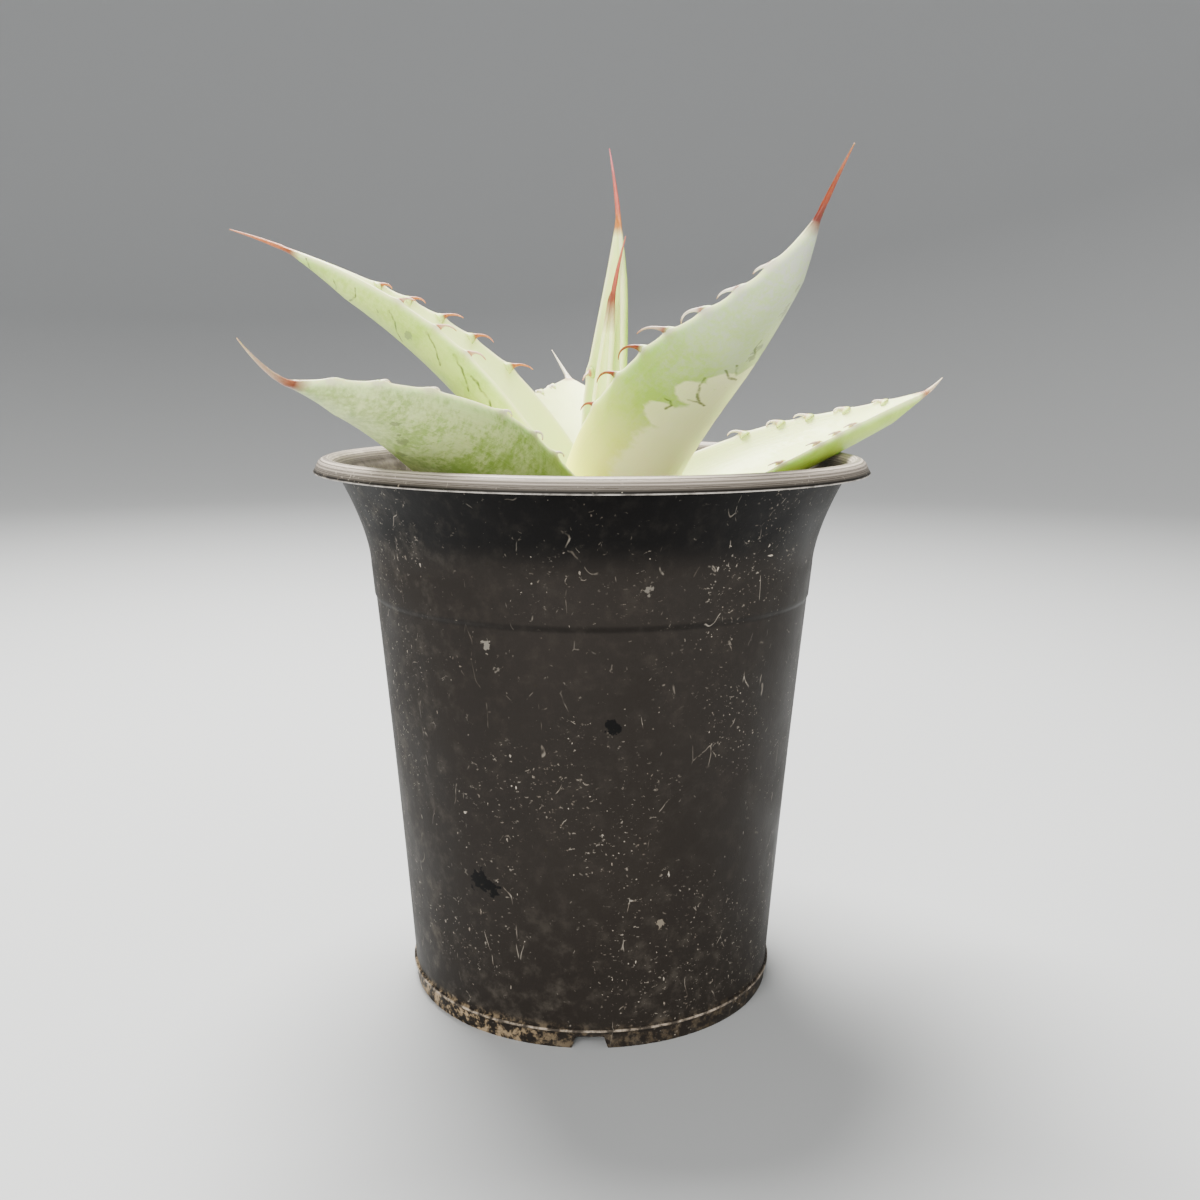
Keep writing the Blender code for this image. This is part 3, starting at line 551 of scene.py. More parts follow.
bed_faces = grid_faces(len(bed), BED_TURNS, True).tolist()
bed_faces += [list(range(BED_TURNS))[::-1], list(range((len(bed) - 1) * BED_TURNS, len(bed) * BED_TURNS))]

compost, t, shader = plain_finish("fine_compost", (0.06, 0.04, 0.028), 0.95)
place = object_place(t)
crumbs = placed(t, speck_group, Vector=place, Spacing=0.0016, Size=0.42, Share=0.75)
dark = tint(t, fractal(t, place, 500.0, 4.0, 0.7), (0.020, 0.013, 0.009), (0.12, 0.08, 0.05))
colour = tint(t, crumbs[0], dark, tint(t, crumbs[1], (0.10, 0.065, 0.04), (0.34, 0.26, 0.18)))
dress(t, shader, colour, crumbs[0], 0.8, 0.0006)
soil_bed = mesh_piece("mix_bed", bed.reshape(-1, 3), bed_faces, compost)
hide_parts("soil")
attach(soil_bed, "root")


def pebble_points(rings, sides, centres, sizes, squash, turns, rng):
    """Uneven balls, one for each centre: a sphere of rings and sides whose radius is pushed in
    and out at random, squashed, turned about a random axis and set down at its centre."""
    rise = np.linspace(-np.pi / 2, np.pi / 2, rings + 2)[1:-1]
    spin = np.linspace(0, 2 * np.pi, sides, endpoint=False)
    spin = spin + (np.arange(rings) % 2)[:, None] * np.pi / sides
    ball = np.stack([np.cos(rise)[:, None] * np.cos(spin), np.cos(rise)[:, None] * np.sin(spin),
                     np.broadcast_to(np.sin(rise)[:, None], spin.shape)], -1).reshape(-1, 3)
    ball = np.concatenate([ball, [[0, 0, -1], [0, 0, 1]]])
    count = len(centres)
    lumps = 1 + rng.uniform(-0.16, 0.16, (count, len(ball)))
    shapes = ball[None] * lumps[..., None] * squash[:, None] * sizes[:, None, None]
    axis = rng.normal(size=(count, 3))
    axis /= np.linalg.norm(axis, axis=1)[:, None]
    cos, sin = np.cos(turns)[:, None, None], np.sin(turns)[:, None, None]
    along = (shapes * axis[:, None]).sum(-1, keepdims=True)
    cross = np.cross(np.broadcast_to(axis[:, None], shapes.shape), shapes)
    return shapes * cos + cross * sin + axis[:, None] * along * (1 - cos) + centres[:, None]


def pebble_faces(rings, sides, count):
    """Corner numbers for count balls of pebble_points, as quads and as triangles at the poles."""
    side = grid_faces(rings, sides, True)
    low, high = rings * sides, rings * sides + 1
    ring = np.arange(sides)
    onward = (ring + 1) % sides
    last = (rings - 1) * sides
    bottom = np.stack([onward, ring, np.full(sides, low)], -1)
    top = np.stack([last + ring, last + onward, np.full(sides, high)], -1)
    size = rings * sides + 2
    starts = (np.arange(count) * size)[:, None, None]
    poles = np.concatenate([bottom, top])
    return (side[None] + starts).reshape(-1, 4), (poles[None] + starts).reshape(-1, 3)


GRAIN_MESH, STONE_MESH = (3, 6), (13, 18)
rng = np.random.default_rng(11)
grain_sizes = np.concatenate([
    rng.uniform(0.0004, 0.0009, 2300), rng.uniform(0.0009, 0.0015, 900), rng.uniform(0.0015, 0.0021, 170),
])
grain_count = len(grain_sizes)
away = (bed_edge - GRAIN_BURY - grain_sizes) * np.sqrt(rng.uniform(0.0, 1.0, grain_count))
spin = rng.uniform(0, 2 * np.pi, grain_count)
grain_x, grain_y = away * np.cos(spin), away * np.sin(spin)
grain_z = mix_height(grain_x, grain_y) - 0.0006 + grain_sizes * rng.uniform(-0.1, 0.45, grain_count)
grain_centres = np.stack([grain_x, grain_y, grain_z], -1)
squash = rng.uniform(0.7, 1.15, (grain_count, 3))
twists = rng.uniform(0, 6.28, grain_count)
grains = pebble_points(*GRAIN_MESH, grain_centres, grain_sizes, squash, twists, rng)
quads, tris = pebble_faces(*GRAIN_MESH, grain_count)

grit, t, shader = plain_finish("grit", (0.5, 0.4, 0.3), 0.95)
place = object_place(t)
kinds = node(t, "ValToRGB", {"Fac": carried(t, "tone")})
ramp = kinds.color_ramp
ramp.interpolation = "CONSTANT"
ramp.elements[0].color = (0.50, 0.43, 0.34, 1.0)
for stop, colour in ((0.26, (0.62, 0.57, 0.49)), (0.44, (0.36, 0.22, 0.12)), (0.62, (0.26, 0.15, 0.085)),
                     (0.74, (0.12, 0.085, 0.06)), (0.88, (0.70, 0.66, 0.58))):
    ramp.elements.new(stop).color = (*colour, 1.0)
ramp.elements.remove(ramp.elements[-1])
pitted = fractal(t, place, 1500.0, 4.0, 0.7)
kind = kinds.outputs["Color"]
colour = tint(t, ease(t, pitted, 0.35, 0.62), tint(t, 0.55, kind, (0.08, 0.055, 0.04)), kind)
dress(t, shader, colour, pitted, 0.7, 0.0003)
grit_piece = mesh_piece("mix_grains", grains.reshape(-1, 3), quads.tolist() + tris.tolist(), grit)
hold(grit_piece, "tone", np.repeat(rng.uniform(0, 1, grain_count), grains.shape[1]))
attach(grit_piece, "root")

pumice, t, shader = plain_finish("pumice", (0.6, 0.55, 0.46), 0.95)
place = object_place(t)
pores = placed(t, speck_group, Vector=place, Spacing=0.0007, Size=0.36, Share=0.8)[0]
patch = fractal(t, place, 260.0, 4.0, 0.6)
colour = tint(t, ease(t, patch, 0.35, 0.65), (0.40, 0.32, 0.23), (0.66, 0.61, 0.53))
colour = tint(t, times(t, pores, 0.7), colour, (0.20, 0.15, 0.10))
dress(t, shader, colour, calc(t, "SUBTRACT", patch, pores), 0.8, 0.0004)
for name in sorted(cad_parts):
    if not name.startswith("stone_"):
        continue
    low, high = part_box(name)
    centre, half = np.array((low + high) / 2), np.array((high - low) / 2)
    one = np.ones((1, 3))
    ball = pebble_points(*STONE_MESH, 0 * one, one[:, 0], one, 0 * one[:, 0], np.random.default_rng(0))[0]
    ball /= np.linalg.norm(ball, axis=1)[:, None]
    x, y, z = ball.T
    seed = centre * 900
    lump = 1 + 0.10 * np.sin(4 * x + seed[0]) * np.cos(3 * y + seed[1])
    lump = lump + 0.07 * np.sin(6 * z + 5 * x + seed[1])
    lump = lump + 0.03 * np.sin(11 * x + seed[1]) * np.sin(13 * y + seed[0])
    ball = ball * lump[:, None]
    ball = (ball - (ball.max(0) + ball.min(0)) / 2) / ((ball.max(0) - ball.min(0)) / 2)
    quads, tris = pebble_faces(*STONE_MESH, 1)
    stone = mesh_piece(name + "_pumice", centre + ball * half, quads.tolist() + tris.tolist(), pumice)
    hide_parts(name)
    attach(stone, "root")


# ---------------------------------------------------------------- stem and roots
# The short pale stem that the leaf bases clasp, with its first roots running out into the
# mix. It grew as one piece, and only a little of it shows between the leaves.

tissue, t, shader = plain_finish("stem_tissue", (0.55, 0.47, 0.33), 0.7)
place = object_place(t)
scars = fractal(t, arrow(t, "MULTIPLY", place, (1.0, 1.0, 6.0)), 160.0, 4.0, 0.6)
dress(t, shader, tint(t, scars, (0.26, 0.17, 0.09), (0.62, 0.55, 0.40)), scars, 0.5, 0.0005)
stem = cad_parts["stem_and_roots"]
stem.data.materials.clear()
stem.data.materials.append(tissue)


# ---------------------------------------------------------------- leaves
# Seven thick leaves in a spiral, each grown as one piece: a guttered blade with a waxy bloom,
# printed with the outlines of the leaves it was folded against in the bud, horny teeth that
# hook back along its margins, and a long red spine at its tip.

LEAF_EDGE, LEAF_TIP_SHARE, ROOT_REACH = 0.0008, 0.052, 0.12
SPINE_RADIUS, SPINE_POINT, SPINE_TURN_POWER = 0.00068, 0.00010, 0.4
TOOTH_RADIUS, TOOTH_ROOT, TOOTH_LEAN = 0.0011, 0.0010, 15
CROWN_Z = RIM_CREST - 0.0237
ACROSS, BLADE_STATIONS, SPINE_STATIONS = 45, 190, 36
HORN_FROM, HORN_ROOT, CREASE_WIDTH = 0.965, 0.14, 0.00040
CARRIED = ("share", "side", "upper", "horn", "point", "margin", "bleached")

# Metres and degrees; teeth are shares of the blade's length, and pairs run from root to tip.
# root is the distance from the pot's axis and the height over the crown's base.
LEAVES = {
    "leaf_1": dict(
        heading=97, sway=-4, root=(0.0090, 0.0076), rise=(46, 22), bow=-10, length=0.0700, half=0.0150,
        root_share=0.95, widest=0.46, cup=(50, 20), roll=(20, 1), thickness=0.0045, spine=0.0120,
        spine_turn=(28, 44), right_teeth=(0.45, 0.60, 0.75), left_teeth=(0.50, 0.64, 0.77, 0.88),
        tooth_length=0.0036, tooth_curl=120,
    ),
    "leaf_2": dict(
        heading=231, sway=5, root=(0.0108, 0.0064), rise=(28, 10), bow=9, length=0.0800, half=0.0150,
        root_share=0.84, widest=0.43, cup=(55, 56), roll=(32, -1), thickness=0.0042, spine=0.0150,
        spine_turn=(27, 15), right_teeth=(0.36, 0.50, 0.64, 0.77),
        left_teeth=(0.25, 0.36, 0.49, 0.70, 0.82, 0.92), tooth_length=0.0040, tooth_curl=125,
    ),
    "leaf_3": dict(
        heading=10.5, sway=11, root=(0.0080, 0.0074), rise=(25, 24), bow=-3, length=0.0775,
        half=0.0130, root_share=0.94, widest=0.50, cup=(43, 40), roll=(25, -4), thickness=0.0042,
        spine=0.0064, spine_turn=(16, 8), right_teeth=(0.44, 0.56, 0.63, 0.69),
        left_teeth=(0.46, 0.58, 0.67, 0.78, 0.89), tooth_length=0.0036, tooth_curl=120,
    ),
    "leaf_4": dict(
        heading=164, sway=3.5, root=(0.0062, 0.0108), rise=(61, 28), bow=-4, length=0.0875,
        half=0.0144, root_share=0.95, widest=0.36, cup=(64, 54), roll=(2, 4), thickness=0.0042,
        spine=0.0157, spine_turn=(-12, 3), right_teeth=(0.40, 0.52, 0.61, 0.70, 0.78),
        left_teeth=(0.43, 0.53, 0.65), tooth_length=0.0050, tooth_curl=95,
    ),
    "leaf_5": dict(
        heading=309, sway=3, root=(0.0060, 0.0119), rise=(59, 64), bow=-24, length=0.0802, half=0.0142,
        root_share=1.00, widest=0.53, cup=(62, 48), roll=(-43, 27), thickness=0.0039, spine=0.0142,
        spine_turn=(-7, 3), right_teeth=(0.24, 0.37, 0.50, 0.60, 0.71, 0.80, 0.88),
        left_teeth=(0.34, 0.47, 0.60, 0.72), tooth_length=0.0068, tooth_curl=95,
    ),
    "leaf_6": dict(
        heading=71, sway=-8, root=(0.0041, 0.0117), rise=(73.5, 96), bow=-8, length=0.0634,
        half=0.0060, root_share=0.85, widest=0.37, cup=(82, 80), roll=(-5, -20), thickness=0.0016,
        spine=0.0166, spine_turn=(-8, -20), right_teeth=(), left_teeth=(0.48,), tooth_length=0.0026,
        tooth_curl=60,
    ),
    "leaf_7": dict(
        heading=74, sway=-20, root=(0.0006, 0.0118), rise=(70, 84), bow=0, length=0.0468, half=0.0028,
        root_share=0.95, widest=0.30, cup=(115, 115), roll=(0, 0), thickness=0.0008, spine=0.0142,
        spine_turn=(-9, -44), right_teeth=(), left_teeth=(), tooth_length=0.0, tooth_curl=0,
    ),
}


def between(pair, share):
    return pair[0] + (pair[1] - pair[0]) * np.clip(share, 0, 1)


def directions(rise, heading):
    """Unit vectors with these angles over the ground and round the compass."""
    level = np.cos(rise)
    return np.stack([level * np.cos(heading), level * np.sin(heading), np.sin(rise)], -1)


def path_along(ways, step):
    """Points from the origin that advance by a step in the mean of each two directions."""
    return np.concatenate([np.zeros((1, 3)), np.cumsum((ways[1:] + ways[:-1]) * step / 2, 0)])


def blade_frame(leaf, shares):
    """Midline points with unit vectors along, left across and up at shares of the length.
    The direction's heading sways with share^1.5 and its rise goes from root to tip with a bow
    of 4 s (1 - s); the points are its running sum, and the section rolls about it."""
    fine = np.linspace(-ROOT_REACH, 1.0, 1121)
    grown = np.clip(fine, 0, 1)
    heading = np.radians(leaf["heading"] + leaf["sway"] * grown**1.5)
    rise = np.radians(between(leaf["rise"], grown) + leaf["bow"] * 4 * grown * (1 - grown))
    along = directions(rise, heading)
    path = path_along(along, leaf["length"] * (fine[1] - fine[0]))
    start = math.radians(leaf["heading"])
    away, height = leaf["root"]
    root = np.array([away * math.cos(start), away * math.sin(start), CROWN_Z + height])
    path += root - [np.interp(0.0, fine, path[:, axis]) for axis in range(3)]
    points = np.stack([np.interp(shares, fine, path[:, axis]) for axis in range(3)], -1)
    ways = np.stack([np.interp(shares, fine, along[:, axis]) for axis in range(3)], -1)
    ways /= np.linalg.norm(ways, axis=1)[:, None]
    flat = np.radians(leaf["heading"] + leaf["sway"] * np.clip(shares, 0, 1) ** 1.5)
    across = np.stack([-np.sin(flat), np.cos(flat), 0 * flat], -1)
    up = np.cross(ways, across)
    roll = np.radians(between(leaf["roll"], shares))[:, None]
    cos, sin = np.cos(roll), np.sin(roll)
    return points, ways, across * cos + up * sin, up * cos - across * sin


def half_width(leaf, shares):
    """Swells in a smooth step from the root to the widest place, then narrows with the 1.55th
    power of the share that is left."""
    rising = np.clip(shares / leaf["widest"], 0, 1)
    below = leaf["root_share"] + (1 - leaf["root_share"]) * rising * rising * (3 - 2 * rising)
    over = np.clip((shares - leaf["widest"]) / (1 - leaf["widest"]), 0, 1)
    return leaf["half"] * np.where(shares < leaf["widest"], below, 1 - (1 - LEAF_TIP_SHARE) * over**1.55)


def leaf_section(leaf, shares, side):
    """Sideways and upward offsets of the upper and of the lower face at each share and side.
    The upper face is an arc; the lower face lies under it by a thickness that is greatest at
    the midline, and both close in a round edge at the margins. A tooth draws its margin out."""
    half = half_width(leaf, shares)[:, None]
    cup = np.radians(between(leaf["cup"], shares))[:, None]
    radius = half / cup
    bend = cup * side
    thick = leaf["thickness"] * (1 - 0.55 * np.clip(shares, 0, 1))[:, None]
    thick = thick * np.minimum(1, 2.2 * half / leaf["half"])
    rounding = np.sqrt(np.clip(1 - np.abs(side) ** 14, 0, 1))
    top = -LEAF_EDGE / 2 * (1 - rounding)
    bottom = -LEAF_EDGE / 2 - (LEAF_EDGE / 2 + thick * (1 - np.abs(side) ** 2.4)) * rounding
    teat = np.zeros_like(bend)
    for sign, teeth in ((-1, leaf["right_teeth"]), (1, leaf["left_teeth"])):
        for at in teeth:
            swell = np.exp(-(((shares[:, None] - at) * leaf["length"] / 0.0017) ** 2))
            teat += sign * 0.00055 * swell * np.clip(side * sign, 0, 1) ** 8
    sideways = radius * np.sin(bend)
    upward = radius * (1 - np.cos(bend))
    offsets = []
    for depth in (top, bottom):
        s = sideways - depth * np.sin(bend) + teat * np.cos(bend)
        u = upward + depth * np.cos(bend) + np.abs(teat) * np.sin(np.abs(bend))
        offsets.append((s, u))
    return offsets


def spine_rings(leaf, last_ring):
    """The blade's last ring turns into a circle that tapers to a point along a turning path."""
    point, along, across, up = (values[-1] for values in blade_frame(leaf, np.array([1.0])))
    share = np.linspace(0, 1, SPINE_STATIONS + 1)
    turned_share = share**SPINE_TURN_POWER
    rise = math.asin(along[2]) + math.radians(leaf["spine_turn"][0]) * turned_share
    heading = math.atan2(along[1], along[0]) + math.radians(leaf["spine_turn"][1]) * turned_share
    path = point + path_along(directions(rise, heading), leaf["spine"] / SPINE_STATIONS)
    path -= up * LEAF_EDGE * 0.6 * np.minimum(1, 4 * share)[:, None]
    shape = last_ring - point
    over = np.linspace(np.pi, 0, ACROSS)
    angles = np.concatenate([over, -np.linspace(0, np.pi, ACROSS)[1:-1]])
    radius = SPINE_RADIUS + (SPINE_POINT - SPINE_RADIUS) * share
    circle = np.cos(angles)[:, None] * across + np.sin(angles)[:, None] * up
    mix = np.minimum(1, share * 4.0)
    mix = (mix * mix * (3 - 2 * mix))[:, None, None]
    fade = (1 - share)[:, None, None]
    rings = path[:, None] + circle[None] * radius[:, None, None] * mix + shape[None] * (1 - mix) * fade
    return rings[1:], share[1:]


def tooth_rings(leaf, share, side, stations=24, sides=8):
    """A hook carried along a path that leaves the margin and turns back towards the root with
    the 1.5th power of its length. A broad foot that dies away in a bell curve is added to a
    thin shaft that tapers to its point; no two hooks on a leaf are quite alike."""
    point, along, across, up = (values[0] for values in blade_frame(leaf, np.array([share])))
    cup = math.radians(between(leaf["cup"], share))
    radius = half_width(leaf, np.array([share]))[0] / cup
    outward = across * side * math.cos(cup) + up * math.sin(cup)
    margin = point + across * side * radius * math.sin(cup) + up * radius * (1 - math.cos(cup))
    flat = np.cross(outward, along)
    length = leaf["tooth_length"] * (0.55 + 0.45 * math.sin(math.pi * min(share * 1.1, 1.0)))
    length *= 1 + 0.16 * math.sin(57 * share + 3 * side + leaf["heading"])
    steps = np.linspace(0, 1, stations)
    curl = leaf["tooth_curl"] * (1 + 0.22 * math.sin(91 * share + side + leaf["heading"]))
    lean = np.radians(TOOTH_LEAN + curl * steps**1.5)[:, None]
    ways = np.cos(lean) * outward - np.sin(lean) * along
    path = margin - outward * TOOTH_ROOT + path_along(ways, (length + TOOTH_ROOT) / (stations - 1))
    angles = np.linspace(0, 2 * np.pi, sides, endpoint=False)[None, :, None]
    foot = (TOOTH_RADIUS * np.exp(-((steps / 0.24) ** 2)))[:, None, None]
    shaft = (TOOTH_RADIUS * (0.06 + 0.30 * (1 - steps) ** 0.6))[:, None, None]
    normal = np.cross(ways, flat)[:, None]
    broad = (foot + shaft) * np.cos(angles) * normal
    return path[:, None] + broad + (0.32 * foot + shaft) * np.sin(angles) * flat, steps


# Crease: a thin soft line from one point to another on the leaf laid flat.
crease_group, given, result = new_group(
    "crease", [("Flat Place", "Vector"), ("Start", "Vector"), ("End", "Vector"), ("Width", "Float")],
    [("Mask", "Float")],
)
t = crease_group
way = arrow(t, "SUBTRACT", given["End"], given["Start"])
off = arrow(t, "SUBTRACT", given["Flat Place"], given["Start"])
reach = calc(t, "DIVIDE", amount(t, "DOT_PRODUCT", off, way), amount(t, "DOT_PRODUCT", way, way))
foot = scaled(t, way, node(t, "Clamp", {"Value": reach}).outputs[0])
gap = calc(t, "DIVIDE", amount(t, "DISTANCE", off, foot), given["Width"])
t.links.new(ease(t, gap, 1.0, 0.25), result.inputs["Mask"])

# Leaf skin: green under a rubbed grey bloom, with fine streaks along the blade, pale margins that are
# painted highlight, a yellowish root partly brightened by painted glow, an upper face lightened by
# painted light, and the horn of the teeth and the spine.
skin_group, given, result = new_group(
    "leaf skin",
    [(name, "Color") for name in ("Green", "Root Colour", "Bloom Colour", "Upper Colour",
                                  "Horn Foot", "Horn", "Horn Tip")]
    + [(name, "Float") for name in ("Bloom", "Root Length", "Tip Bloom")],
    [("Colour", "Color"), ("Roughness", "Float"), ("Height", "Float")],
)
t = skin_group
read = {name: carried(t, name) for name in CARRIED}
place = object_place(t)
fibre_way = {0: times(t, read["side"], 26.0), 1: times(t, read["share"], 2.0), 2: read["upper"]}
lengthways = node(t, "CombineXYZ", fibre_way).outputs[0]
streaks = fractal(t, lengthways, 1.6, 4.0, 0.6)
clouds = fractal(t, place, 105.0, 5.0, 0.62)
mottle = fractal(t, place, 900.0, 4.0, 0.70)
colour = tint(t, ease(t, streaks, 0.3, 0.7, 0.0, 0.16), given["Green"], given["Bloom Colour"])
deep_green = tint(t, 0.5, given["Green"], (0.10, 0.22, 0.008))
colour = tint(t, ease(t, clouds, 0.62, 0.36, 0.0, 0.45), colour, deep_green)
rubbed = ease(t, calc(t, "MULTIPLY_ADD", mottle, 0.50, times(t, clouds, 0.70)), 0.50, 0.70)
everywhere = times(t, given["Bloom"], calc(t, "MULTIPLY_ADD", rubbed, 0.8, 0.2))
tipward = times(t, ease(t, read["share"], 0.35, 0.95), given["Tip Bloom"],
                ease(t, mottle, 0.3, 0.7, 0.6, 1.0))
bloom = node(t, "Clamp", {"Value": calc(t, "ADD", everywhere, tipward)}).outputs[0]
colour = tint(t, bloom, colour, given["Bloom Colour"])
# The root end is mixed towards pale yellow: partly the leaf's paler base, partly painted glow standing in
# for light shining through the leaf.
rootward = ease(t, read["share"], 0.0, given["Root Length"], 0.9, 0.0)
colour = tint(t, rootward, colour, given["Root Colour"])
# Painted light: the upper face is mixed towards a pale colour, standing in for the strong light falling
# on it from above.
colour = tint(t, times(t, read["upper"], 0.75), colour, given["Upper Colour"])
spots = placed(t, speck_group, Vector=place, Spacing=0.0060, Size=0.07, Share=0.14)[0]
colour = tint(t, times(t, spots, 0.5), colour, (0.09, 0.12, 0.05))
# Painted highlight: a pale band along the margins stands in for light catching the leaf's edges.
colour = tint(t, times(t, read["margin"], 0.75), colour, (0.86, 0.86, 0.54))
fibres = fractal(t, arrow(t, "MULTIPLY", place, (1.0, 1.0, 0.35)), 2600.0, 2.0, 0.6)
horn = tint(t, ease(t, read["point"], 0.02, 0.30), given["Horn Foot"], given["Horn"])
horn = tint(t, ease(t, read["point"], 0.45, 0.95), horn, given["Horn Tip"])
horn = tint(t, ease(t, fibres, 0.40, 0.62, 0.45, 0.0), horn, tint(t, 0.6, horn, (0.05, 0.012, 0.006)))
cream = tint(t, ease(t, read["point"], 0.05, 0.35), given["Horn"], (0.80, 0.74, 0.58))
cream = tint(t, ease(t, read["point"], 0.70, 1.0, 0.0, 0.8), cream, given["Horn"])
horn = tint(t, read["bleached"], horn, cream)
t.links.new(tint(t, read["horn"], colour, horn), result.inputs["Colour"])
skin_rough = ease(t, rubbed, 0.0, 1.0, 0.38, 0.60)
t.links.new(calc(t, "MULTIPLY_ADD", read["horn"], -0.1, skin_rough), result.inputs["Roughness"])
t.links.new(calc(t, "MULTIPLY_ADD", mottle, 0.30, times(t, streaks, 0.7)), result.inputs["Height"])

# creases are open lines of (share, side) pressed in by the hooks of the leaf outside; smudges
# and pale_pads are round places of (share, side, radius in metres) on the lower face.
# Each leaf's root colour is partly its paler base and partly painted glow of light shining through the
# leaf.
LEAF_LOOKS = {
    "leaf_1": dict(green=(0.38, 0.52, 0.08), root=(0.70, 0.72, 0.28), bloom=0.5, tip_bloom=0.2,
                   pale_teeth=lambda at, side: 0.9, bleached=0.85,
                   horn=((0.50, 0.32, 0.16), (0.66, 0.56, 0.42), (0.74, 0.66, 0.54))),
    "leaf_2": dict(green=(0.115, 0.225, 0.004), root=(0.12, 0.22, 0.004), bloom=0.46, tip_bloom=0.45,
                   wax=(0.58, 0.66, 0.30),
                   pale_teeth=lambda at, side: 0.9 if side > 0 else 0.0, bleached=0.25,
                   horn=((0.22, 0.05, 0.018), (0.32, 0.13, 0.055), (0.54, 0.34, 0.20)),
                   smudges=((0.690, 0.18, 0.0005), (0.66, 0.10, 0.0012), (0.735, 0.35, 0.0009),
                            (0.60, -0.20, 0.0010))),
    "leaf_3": dict(green=(0.34, 0.52, 0.012), root=(0.52, 0.64, 0.06), bloom=0.16, tip_bloom=0.2,
                   pale_teeth=lambda at, side: 0.85 if side > 0 else 0.3, bleached=0.3,
                   horn=((0.40, 0.16, 0.07), (0.58, 0.38, 0.20), (0.78, 0.66, 0.48))),
    "leaf_4": dict(green=(0.34, 0.53, 0.025), root=(0.86, 0.92, 0.24), bloom=0.38, tip_bloom=0.35,
                   pale_teeth=lambda at, side: 0.35 if side > 0 else 0.0,
                   horn=((0.28, 0.07, 0.015), (0.44, 0.13, 0.04), (0.52, 0.18, 0.10)),
                   creases=(((0.945, 0.86), (0.935, 0.68), (0.925, 0.35)),
                            ((0.845, 0.66), (0.830, 0.50), (0.835, 0.30)),
                            ((0.772, 0.80), (0.765, 0.60), (0.785, 0.30)),
                            ((0.660, 0.78), (0.632, 0.67), (0.618, 0.48), (0.600, 0.36)),
                            ((0.545, 0.86), (0.500, 0.78), (0.470, 0.62)),
                            ((0.455, 0.88), (0.400, 0.78), (0.370, 0.66)),
                            ((0.385, 0.84), (0.320, 0.80), (0.290, 0.72))),
                   smudges=((0.585, 0.62, 0.0012),)),
    "leaf_5": dict(green=(0.34, 0.56, 0.012), root=(1.0, 0.95, 0.20), bloom=0.30, tip_bloom=0.85,
                   wax=(0.40, 0.42, 0.35),
                   pale_teeth=lambda at, side: min(max((at - 0.50) / 0.25, 0.0), 0.95),
                   horn=((0.13, 0.014, 0.005), (0.24, 0.042, 0.014), (0.34, 0.10, 0.05)),
                   creases=(((0.444, -0.40), (0.447, -0.34), (0.436, -0.30), (0.416, -0.30)),
                            ((0.559, -0.25), (0.529, -0.23), (0.499, -0.15), (0.476, -0.05),
                             (0.466, 0.07)),
                            ((0.474, -0.20), (0.476, -0.05)),
                            ((0.598, -0.12), (0.574, 0.03), (0.562, 0.20)),
                            ((0.619, -0.02), (0.600, 0.05), (0.590, 0.10)),
                            ((0.655, 0.12), (0.672, 0.04), (0.700, 0.02))),
                   smudges=((0.672, 0.10, 0.0012), (0.780, 0.12, 0.0013), (0.800, 0.08, 0.0010),
                            (0.64, 0.16, 0.0010), (0.85, 0.04, 0.0009)),
                   pale_pads=((0.395, -0.27, 0.0036), (0.502, -0.20, 0.0036), (0.560, -0.02, 0.0029),
                              (0.555, 0.35, 0.0040), (0.40, 0.00, 0.0050), (0.48, 0.18, 0.0055),
                              (0.30, 0.30, 0.0098), (0.44, 0.62, 0.0095), (0.20, 0.45, 0.012))),
    "leaf_6": dict(green=(0.42, 0.68, 0.006), root=(0.70, 0.84, 0.16), bloom=0.30, tip_bloom=0.2,
                   pale_teeth=lambda at, side: 0.5,
                   horn=((0.50, 0.17, 0.04), (0.50, 0.10, 0.09), (0.56, 0.13, 0.19))),
    "leaf_7": dict(green=(0.42, 0.60, 0.03), root=(0.52, 0.64, 0.08), bloom=0.15, tip_bloom=0.0,
                   pale_teeth=lambda at, side: 0.0, horn_from=0.84,
                   horn=((0.22, 0.045, 0.02), (0.36, 0.06, 0.035), (0.46, 0.11, 0.08))),
}


